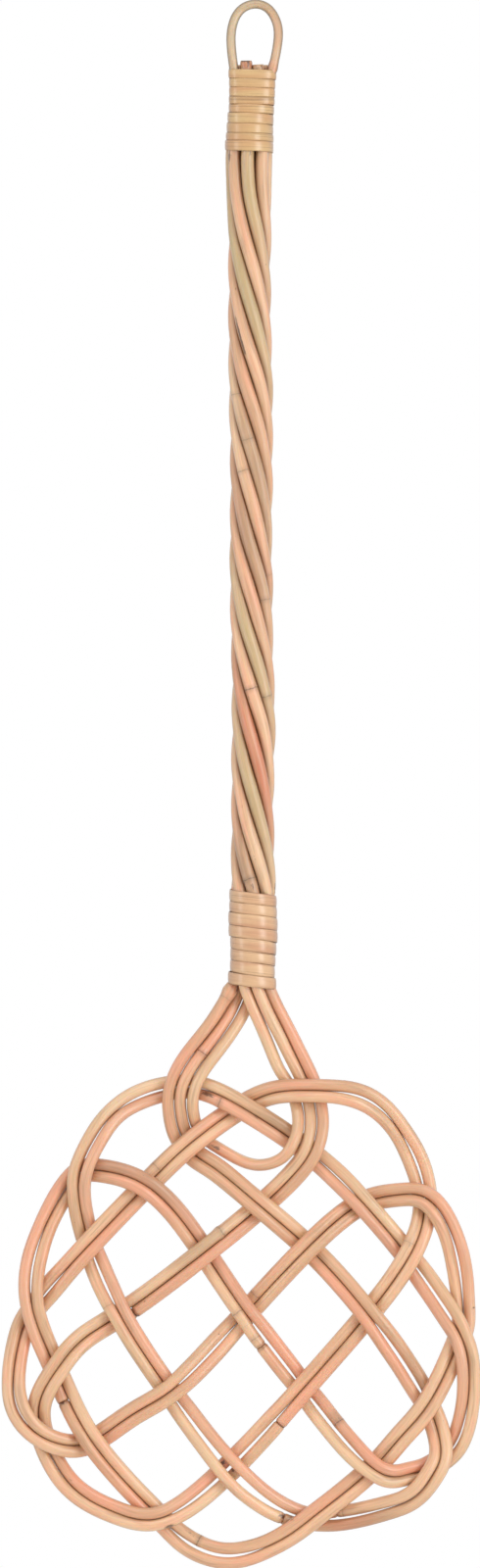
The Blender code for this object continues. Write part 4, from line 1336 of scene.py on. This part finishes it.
@dataclass
class CaneBinding:
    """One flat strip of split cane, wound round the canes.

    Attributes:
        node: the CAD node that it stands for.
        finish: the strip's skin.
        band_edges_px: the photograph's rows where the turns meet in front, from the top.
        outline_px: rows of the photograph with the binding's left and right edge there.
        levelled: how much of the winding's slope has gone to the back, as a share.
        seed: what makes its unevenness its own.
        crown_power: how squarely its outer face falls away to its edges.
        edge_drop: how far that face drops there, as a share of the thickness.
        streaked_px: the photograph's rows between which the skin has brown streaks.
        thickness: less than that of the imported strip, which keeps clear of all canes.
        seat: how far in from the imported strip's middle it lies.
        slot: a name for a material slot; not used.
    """

    node: str
    finish: SplitCaneFinish
    band_edges_px: tuple[float, ...]
    outline_px: tuple[tuple[float, float, float], ...]
    levelled: float
    seed: int
    crown_power: float
    edge_drop: float
    streaked_px: tuple[float, float] = (0, 0)
    thickness: float = 0.6 * MM
    seat: float = 0.32 * MM
    slot: str = "binding_strip"

    STATION_STEP = 0.8 * MM
    SPAN_STEPS = 8
    ACROSS = 13
    FRONT_AHEAD = 11 * MM
    OVERLAP = 0.03 * MM
    WAVES = (17 * MM, 29 * MM, 53 * MM)
    EDGE_WANDER = 0.06 * MM
    LIE_WANDER = 0.10 * MM
    EDGE_POWER = 3
    ROUNDING = 6
    FIBRE_START = 0.53

    def wound_line(self, node: bpy.types.Object) -> tuple[Array, Array]:
        """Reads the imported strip's line and how many turns it has made at each station.

        Args:
            node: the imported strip.

        Returns:
            The line's points, and the turns since its start at the back.
        """
        rings = np.array(PackedTube(node, STRIP_SIDES).rings())
        line = stationed(spline_through(rings.mean(axis=1), self.SPAN_STEPS), self.STATION_STEP)
        angle = np.unwrap(np.arctan2(line[:, 0] - line[:, 0].mean(), -line[:, 1]))
        return line, np.abs(angle - angle[0]) / FULL_TURN

    def bands(self, turns: Array) -> tuple[Array, Array]:
        """The strip's height and width at each station, so that the turns lie edge to edge.

        At the front of each turn the strip fills its band in the photograph; between the fronts
        both height and width go straight. The turns are first shifted by a sine that makes the
        fronts level and the backs steep.

        Args:
            turns: how many turns the strip has made.

        Returns:
            The heights, and the widths.
        """
        edges = np.array([photo_place((0, row), self.FRONT_AHEAD)[1] for row in self.band_edges_px])
        fronts = np.arange(len(edges) - 1) + 0.5
        middles = (edges[:-1] + edges[1:]) / 2
        depths = edges[:-1] - edges[1:]
        shifted = turns + self.levelled * np.sin(FULL_TURN * turns) / FULL_TURN
        heights = np.interp(shifted, fronts, middles)
        before = np.minimum(shifted - fronts[0], 0) * depths[0]
        after = np.maximum(shifted - fronts[-1], 0) * depths[-1]
        return heights - before - after, np.interp(shifted, fronts, depths)

    def tapered(self, line: Array, turns: Array) -> Array:
        """The strip's line, without a sudden step from one turn to the next.

        Each station's distance from the turns' axis is at least the mean of those one turn before
        and one turn after it, twice over; it is then averaged along the strip, which rounds the
        flats between the canes.

        Args:
            line: the strip's points.
            turns: how many turns the strip has made.

        Returns:
            The line with its new X and Y.
        """
        axis = np.array([(line[:, 0].min() + line[:, 0].max()) / 2, 0.0])
        spoke = line[:, :2] - axis
        reach = np.linalg.norm(spoke, axis=1)
        wider = reach
        for _ in range(2):
            beside = np.interp(turns - 1, turns, wider) + np.interp(turns + 1, turns, wider)
            inner = (turns > 1) & (turns < turns[-1] - 1)
            wider = np.where(inner, np.maximum(wider, beside / 2), wider)
        wider = evened(wider[:, None], self.ROUNDING)[:, 0]
        return np.column_stack([axis + spoke * (wider / reach)[:, None], line[:, 2]])

    def outlined(self, line: Array, turns: Array) -> Array:
        """The strip's line, with each turn as wide as the photograph shows it.

        X goes straight from the turn's own left and right ends to the photograph's; a turn's ends
        are those of the stations within half a turn.

        Args:
            line: the strip's points, at their final heights.
            turns: how many turns the strip has made.

        Returns:
            The line with its new X.
        """
        half = round(len(line) / turns[-1] / 2)
        line = self.tapered(line, turns)
        windows = np.lib.stride_tricks.sliding_window_view(line[:, 0], 2 * half + 1)
        own_left, own_right = (np.pad(ends, half, mode="edge")
                               for ends in (windows.min(axis=1), windows.max(axis=1)))
        rows, left, right = zip(*self.outline_px)
        heights = [-photo_place((0, row))[1] for row in rows]
        left, right = (np.interp(-line[:, 2], heights, [photo_place((x, 0))[0] for x in side])
                       for side in (left, right))
        line[:, 0] = left + (line[:, 0] - own_left) / (own_right - own_left) * (right - left)
        return line

    def waves(self, stations: Array, chance: np.random.Generator) -> Array:
        """Slow waves along the strip, from -1 to 1: the sum of three sines."""
        return sum(np.sin(FULL_TURN * stations / wave + chance.uniform(0, FULL_TURN))
                   for wave in self.WAVES) / len(self.WAVES)

    def build(self, node: bpy.types.Object) -> None:
        """Sweeps the strip and hands it over for its CAD node.

        The strip's section is flat inside and crowned outside: it runs over a crown that drops by
        a power of |v|, with v from -1 to 1 across the strip, and back along the flat inner face.

        Args:
            node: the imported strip.
        """
        line, turns = self.wound_line(node)
        line[:, 2], widths = self.bands(turns)
        line = self.outlined(line, turns)
        outward = np.cross(unit(np.gradient(line, axis=0)), UP)
        outward *= np.sign(np.sum(outward * line * LEVEL, axis=1))[:, None]
        outward = unit(outward)
        stations = distance_along(line)
        chance = np.random.default_rng(self.seed)
        half = widths / 2 + self.OVERLAP - self.EDGE_WANDER * (1 + self.waves(stations, chance)) / 2
        lie = self.LIE_WANDER * self.waves(stations, chance) - self.seat
        centre = line + lie[:, None] * outward
        across = np.linspace(-1, 1, self.ACROSS)
        crown = self.thickness * (0.5 - self.edge_drop * np.abs(across) ** self.crown_power)
        section_v = np.concatenate([across, across[::-1]])
        section_out = np.concatenate([crown, np.full(self.ACROSS, -self.thickness / 2)])
        rise = half[:, None] * section_v
        surface = centre[:, None] + section_out[:, None] * outward[:, None]
        surface[:, :, 2] += rise

        high, low = (photo_place((0, row))[1] for row in self.streaked_px)
        # Darker towards both edges: raw edges, and painted shade where the turns meet
        fields = {"raw_edge": np.abs(section_v) ** self.EDGE_POWER,
                  "streaked": (surface[:, :, 2] < high) & (surface[:, :, 2] > low)}
        own_place = rise, section_out, stations[:, None] + self.seed * self.FIBRE_START
        mesh = tube_mesh(self.node + "_skin", surface, centre[[0, -1]], own_place, fields)
        mesh.materials.append(self.finish.material())
        strip = put_up(mesh.name, mesh)
        hand_over(strip, self.node)
        LOG.info("%s: %d bands, %d faces", strip.name, len(self.band_edges_px) - 1,
                 len(mesh.polygons))


TOP_BINDING = CaneBinding(
    "top_binding", SplitCaneFinish("split_cane_honey", "#DAB47C", "#D09D6A", edge_share=0.4),
    (70.7, 80.0, 89.0, 98.3, 106.0, 115.0, 125.8, 135.8, 143.3, 154.0),
    ((75, 233.2, 282.4), (85, 233.6, 281.2), (94, 233.7, 280.8), (102, 233.6, 280.6),
     (111, 233.2, 280.0), (121, 231.9, 279.4), (130, 231.2, 279.2), (139, 230.4, 279.2),
     (149, 229.4, 279.3)),
    levelled=0.7, seed=31, crown_power=3, edge_drop=0.35, streaked_px=(98, 120))
NECK_BINDING = CaneBinding(
    "neck_binding", SplitCaneFinish("split_cane_peach", "#E3B88B", "#D49E76"),
    (911.5, 923.3, 934.0, 947.3, 959.0, 972.0, 983.0, 996.0, 1008.0),
    ((908, 234.4, 282.6), (915, 234.0, 282.6), (925, 233.7, 282.6), (937, 232.9, 283.3),
     (950, 233.2, 284.0), (963, 235.0, 282.9), (978, 234.9, 281.6), (990, 234.5, 280.4),
     (998, 232.3, 281.4), (1006, 230.8, 282.3)),
    levelled=-0.35, seed=32, crown_power=2.6, edge_drop=0.5)


@dataclass(frozen=True)
class Lamp:
    """A soft box: where it stands as seen from the beater, its size and its power.

    Attributes:
        name: the lamp's name.
        azimuth: degrees from the camera's side towards the viewer's right.
        elevation: degrees above level.
        size: its width and height.
        power: in watts.
        matte: whether it gives light without a highlight.
        distance: from the beater's middle.
    """

    name: str
    azimuth: float
    elevation: float
    size: tuple[float, float]
    power: float
    matte: bool = False
    distance: float = 2.4

    def build(self, aim: Array) -> None:
        """Puts the lamp up, facing the beater.

        Args:
            aim: the beater's middle.
        """
        data = bpy.data.lights.new(self.name, "AREA")
        data.shape = "RECTANGLE"
        data.size, data.size_y = self.size
        data.energy = self.power
        lamp = put_up(self.name, data)
        turn, rise = math.radians(self.azimuth), math.radians(self.elevation)
        way = np.array([math.sin(turn) * math.cos(rise), -math.cos(turn) * math.cos(rise),
                        math.sin(rise)])
        lamp.location = aim + self.distance * way
        lamp.rotation_euler = (math.pi / 2 - rise, 0, turn)
        lamp.visible_glossy = not self.matte


@dataclass
class Studio:
    """A plain pale floor under the hanging beater, soft boxes and a white surround.

    Attributes:
        floor_drop: how far the floor lies below the beater.
        floor_reach: the floor's half width.
        floor_glow: how much lighter the lens sees the floor under the beater.
        floor_plain: how far the floor keeps that tone. From there it grows lighter, and is
            white at its edges, so that they aren't seen.
        floor_white: how far out it is white, as a share of its half width.
        floor_patch: how wide its faint patches of tone are.
        ambient: how strongly the white surround lights the beater.
        lamps: the soft boxes.
    """

    floor_drop: float = 0.30
    floor_reach: float = 4.0
    floor_glow: float = 0.15
    floor_plain: float = 1.6
    floor_white: float = 0.9
    floor_patch: float = 50 / 3 * MM
    ambient: float = 0.54
    lamps: tuple[Lamp, ...] = (
        Lamp("right_soft_box", 44, 6, (0.9, 1.7), 20.5),
        Lamp("left_soft_box", -62, 6, (0.6, 1.7), 9.0),
        Lamp("top_soft_box", -8, 52, (1.2, 0.5), 9.0),
        Lamp("back_soft_box", 165, 20, (1.4, 1.2), 16.0, matte=True),
    )

    def build(self, low: Array, high: Array) -> None:
        """Sets up the lamps, the floor and the world.

        Args:
            low: the beater's lowest corner.
            high: its highest corner.
        """
        for lamp in self.lamps:
            lamp.build((low + high) / 2)
        self.build_floor(low[2] - self.floor_drop)
        self.build_world()

    def build_floor(self, level: float) -> None:
        """Lays the floor: matte paper, which only the lens sees lighter than it is lit.

        Args:
            level: its height.
        """
        mesh = bpy.data.meshes.new("studio_floor")
        corners = [(x * self.floor_reach, y * self.floor_reach, level)
                   for x, y in ((-1, -1), (1, -1), (1, 1), (-1, 1))]
        mesh.from_pydata(corners, [], [(0, 1, 2, 3)])
        material, tree, shader = new_material("pale_studio_paper")
        place = add_node(tree, "TexCoord", output="Object")
        patches = add_node(tree, "TexNoise", {"Scale": 1 / self.floor_patch, "Detail": 2.0},
                           {"Vector": place})
        seen = add_node(tree, "LightPath", output="Is Camera Ray")
        away = add_node(tree, "VectorMath", {"operation": "LENGTH"}, {0: place}, "Value")
        limits = (self.floor_plain, self.floor_white * self.floor_reach, self.floor_glow, 1.0)
        paler = add_node(tree, "MapRange", {**EASED, **dict(zip(RANGE, limits))}, {"Value": away})
        fit_node(shader, {"Roughness": 0.9, "Emission Color": linear_colour("#FFFFFF")},
                 {"Base Color": washed(tree, "#F4F3F1", [(patches, "#FAFAF9")]),
                  "Emission Strength": add_node(tree, "Math", TIMES, {0: seen, 1: paler})})
        # Only the lens sees the glow, so no ray looks for light there
        material.cycles.emission_sampling = "NONE"
        mesh.materials.append(material)
        put_up("studio_floor", mesh)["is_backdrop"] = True

    def build_world(self) -> None:
        """Makes a white surround, which the lens and glossy surfaces see at full strength."""
        world = bpy.data.worlds.new("white_studio")
        bpy.context.scene.world = world
        world.use_nodes = True
        tree = world.node_tree
        seen = add_node(tree, "LightPath", output="Is Camera Ray")
        for ray in ("Is Glossy Ray", "Is Transmission Ray"):
            passed = add_node(tree, "LightPath", output=ray)
            seen = add_node(tree, "Math", {"operation": "MAXIMUM"}, {0: seen, 1: passed})
        strength = add_node(tree, "MapRange", {"To Min": self.ambient, "To Max": 1.0},
                            {"Value": seen})
        fit_node(tree.nodes["Background"], {"Color": linear_colour("#FFFFFF")},
                 {"Strength": strength})


@dataclass
class PhotoCamera:
    """A long lens, level with the beater's middle, with the photograph's frame.

    Attributes:
        distance: from the beater's plane.
        sensor: the height of the sensor, in millimetres.
    """

    distance: float = CAMERA_DISTANCE
    sensor: float = 36.0

    def build(self) -> bpy.types.Object:
        """Puts the camera up.

        Returns:
            The camera.
        """
        data = bpy.data.cameras.new("photo_camera")
        data.sensor_fit = "VERTICAL"
        data.sensor_height = self.sensor
        data.lens = self.sensor * self.distance / PHOTO_HEIGHT
        camera = put_up("photo_camera", data)
        across, up = photo_place((PHOTO_WIDTH_PX / 2, PHOTO_HEIGHT_PX / 2))
        camera.location = (across, -self.distance, up)
        camera.rotation_euler = (math.pi / 2, 0, 0)
        bpy.context.scene.camera = camera
        return camera


class CarpetBeater:
    """The whole beater: its canes as they lie together, and its bindings."""

    GROUPS = (WovenStrands, HandleCanes, HangingLoop)
    BINDINGS = (TOP_BINDING, NECK_BINDING)

    def __init__(self, nodes: dict[str, bpy.types.Object], box: Array) -> None:
        """Reads every cane and lays the marks on them.

        Args:
            nodes: the CAD nodes by name.
            box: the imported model's two corners.
        """
        self.nodes = nodes
        self.groups = [kind() for kind in self.GROUPS]
        names = [name for group in self.groups for name in group.looks]
        self.lay = CaneLay([CaneLine.from_node(nodes[name]) for name in names], MARKS, box)

    def build(self) -> None:
        """Builds the canes' skins and the bindings."""
        end_grain = EndGrainFinish().material()
        for group in self.groups:
            group.build(self.lay, end_grain)
        for binding in self.BINDINGS:
            binding.build(self.nodes[binding.node])


def main() -> None:
    """Builds the beater's looks, the studio and the camera."""
    logging.basicConfig(level=logging.INFO, format="%(name)s: %(message)s")
    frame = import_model()
    cad_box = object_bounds()
    camera = PhotoCamera().build()
    LOG.info("%s: lens %.1f mm", camera.name, camera.data.lens)
    box = np.array([list(corner) for corner in cad_box])
    CarpetBeater(frame["nodes"], box).build()
    Studio().build(*box)
    bpy.context.scene.view_settings.view_transform = "Standard"


if __name__ == "__main__":
    main()
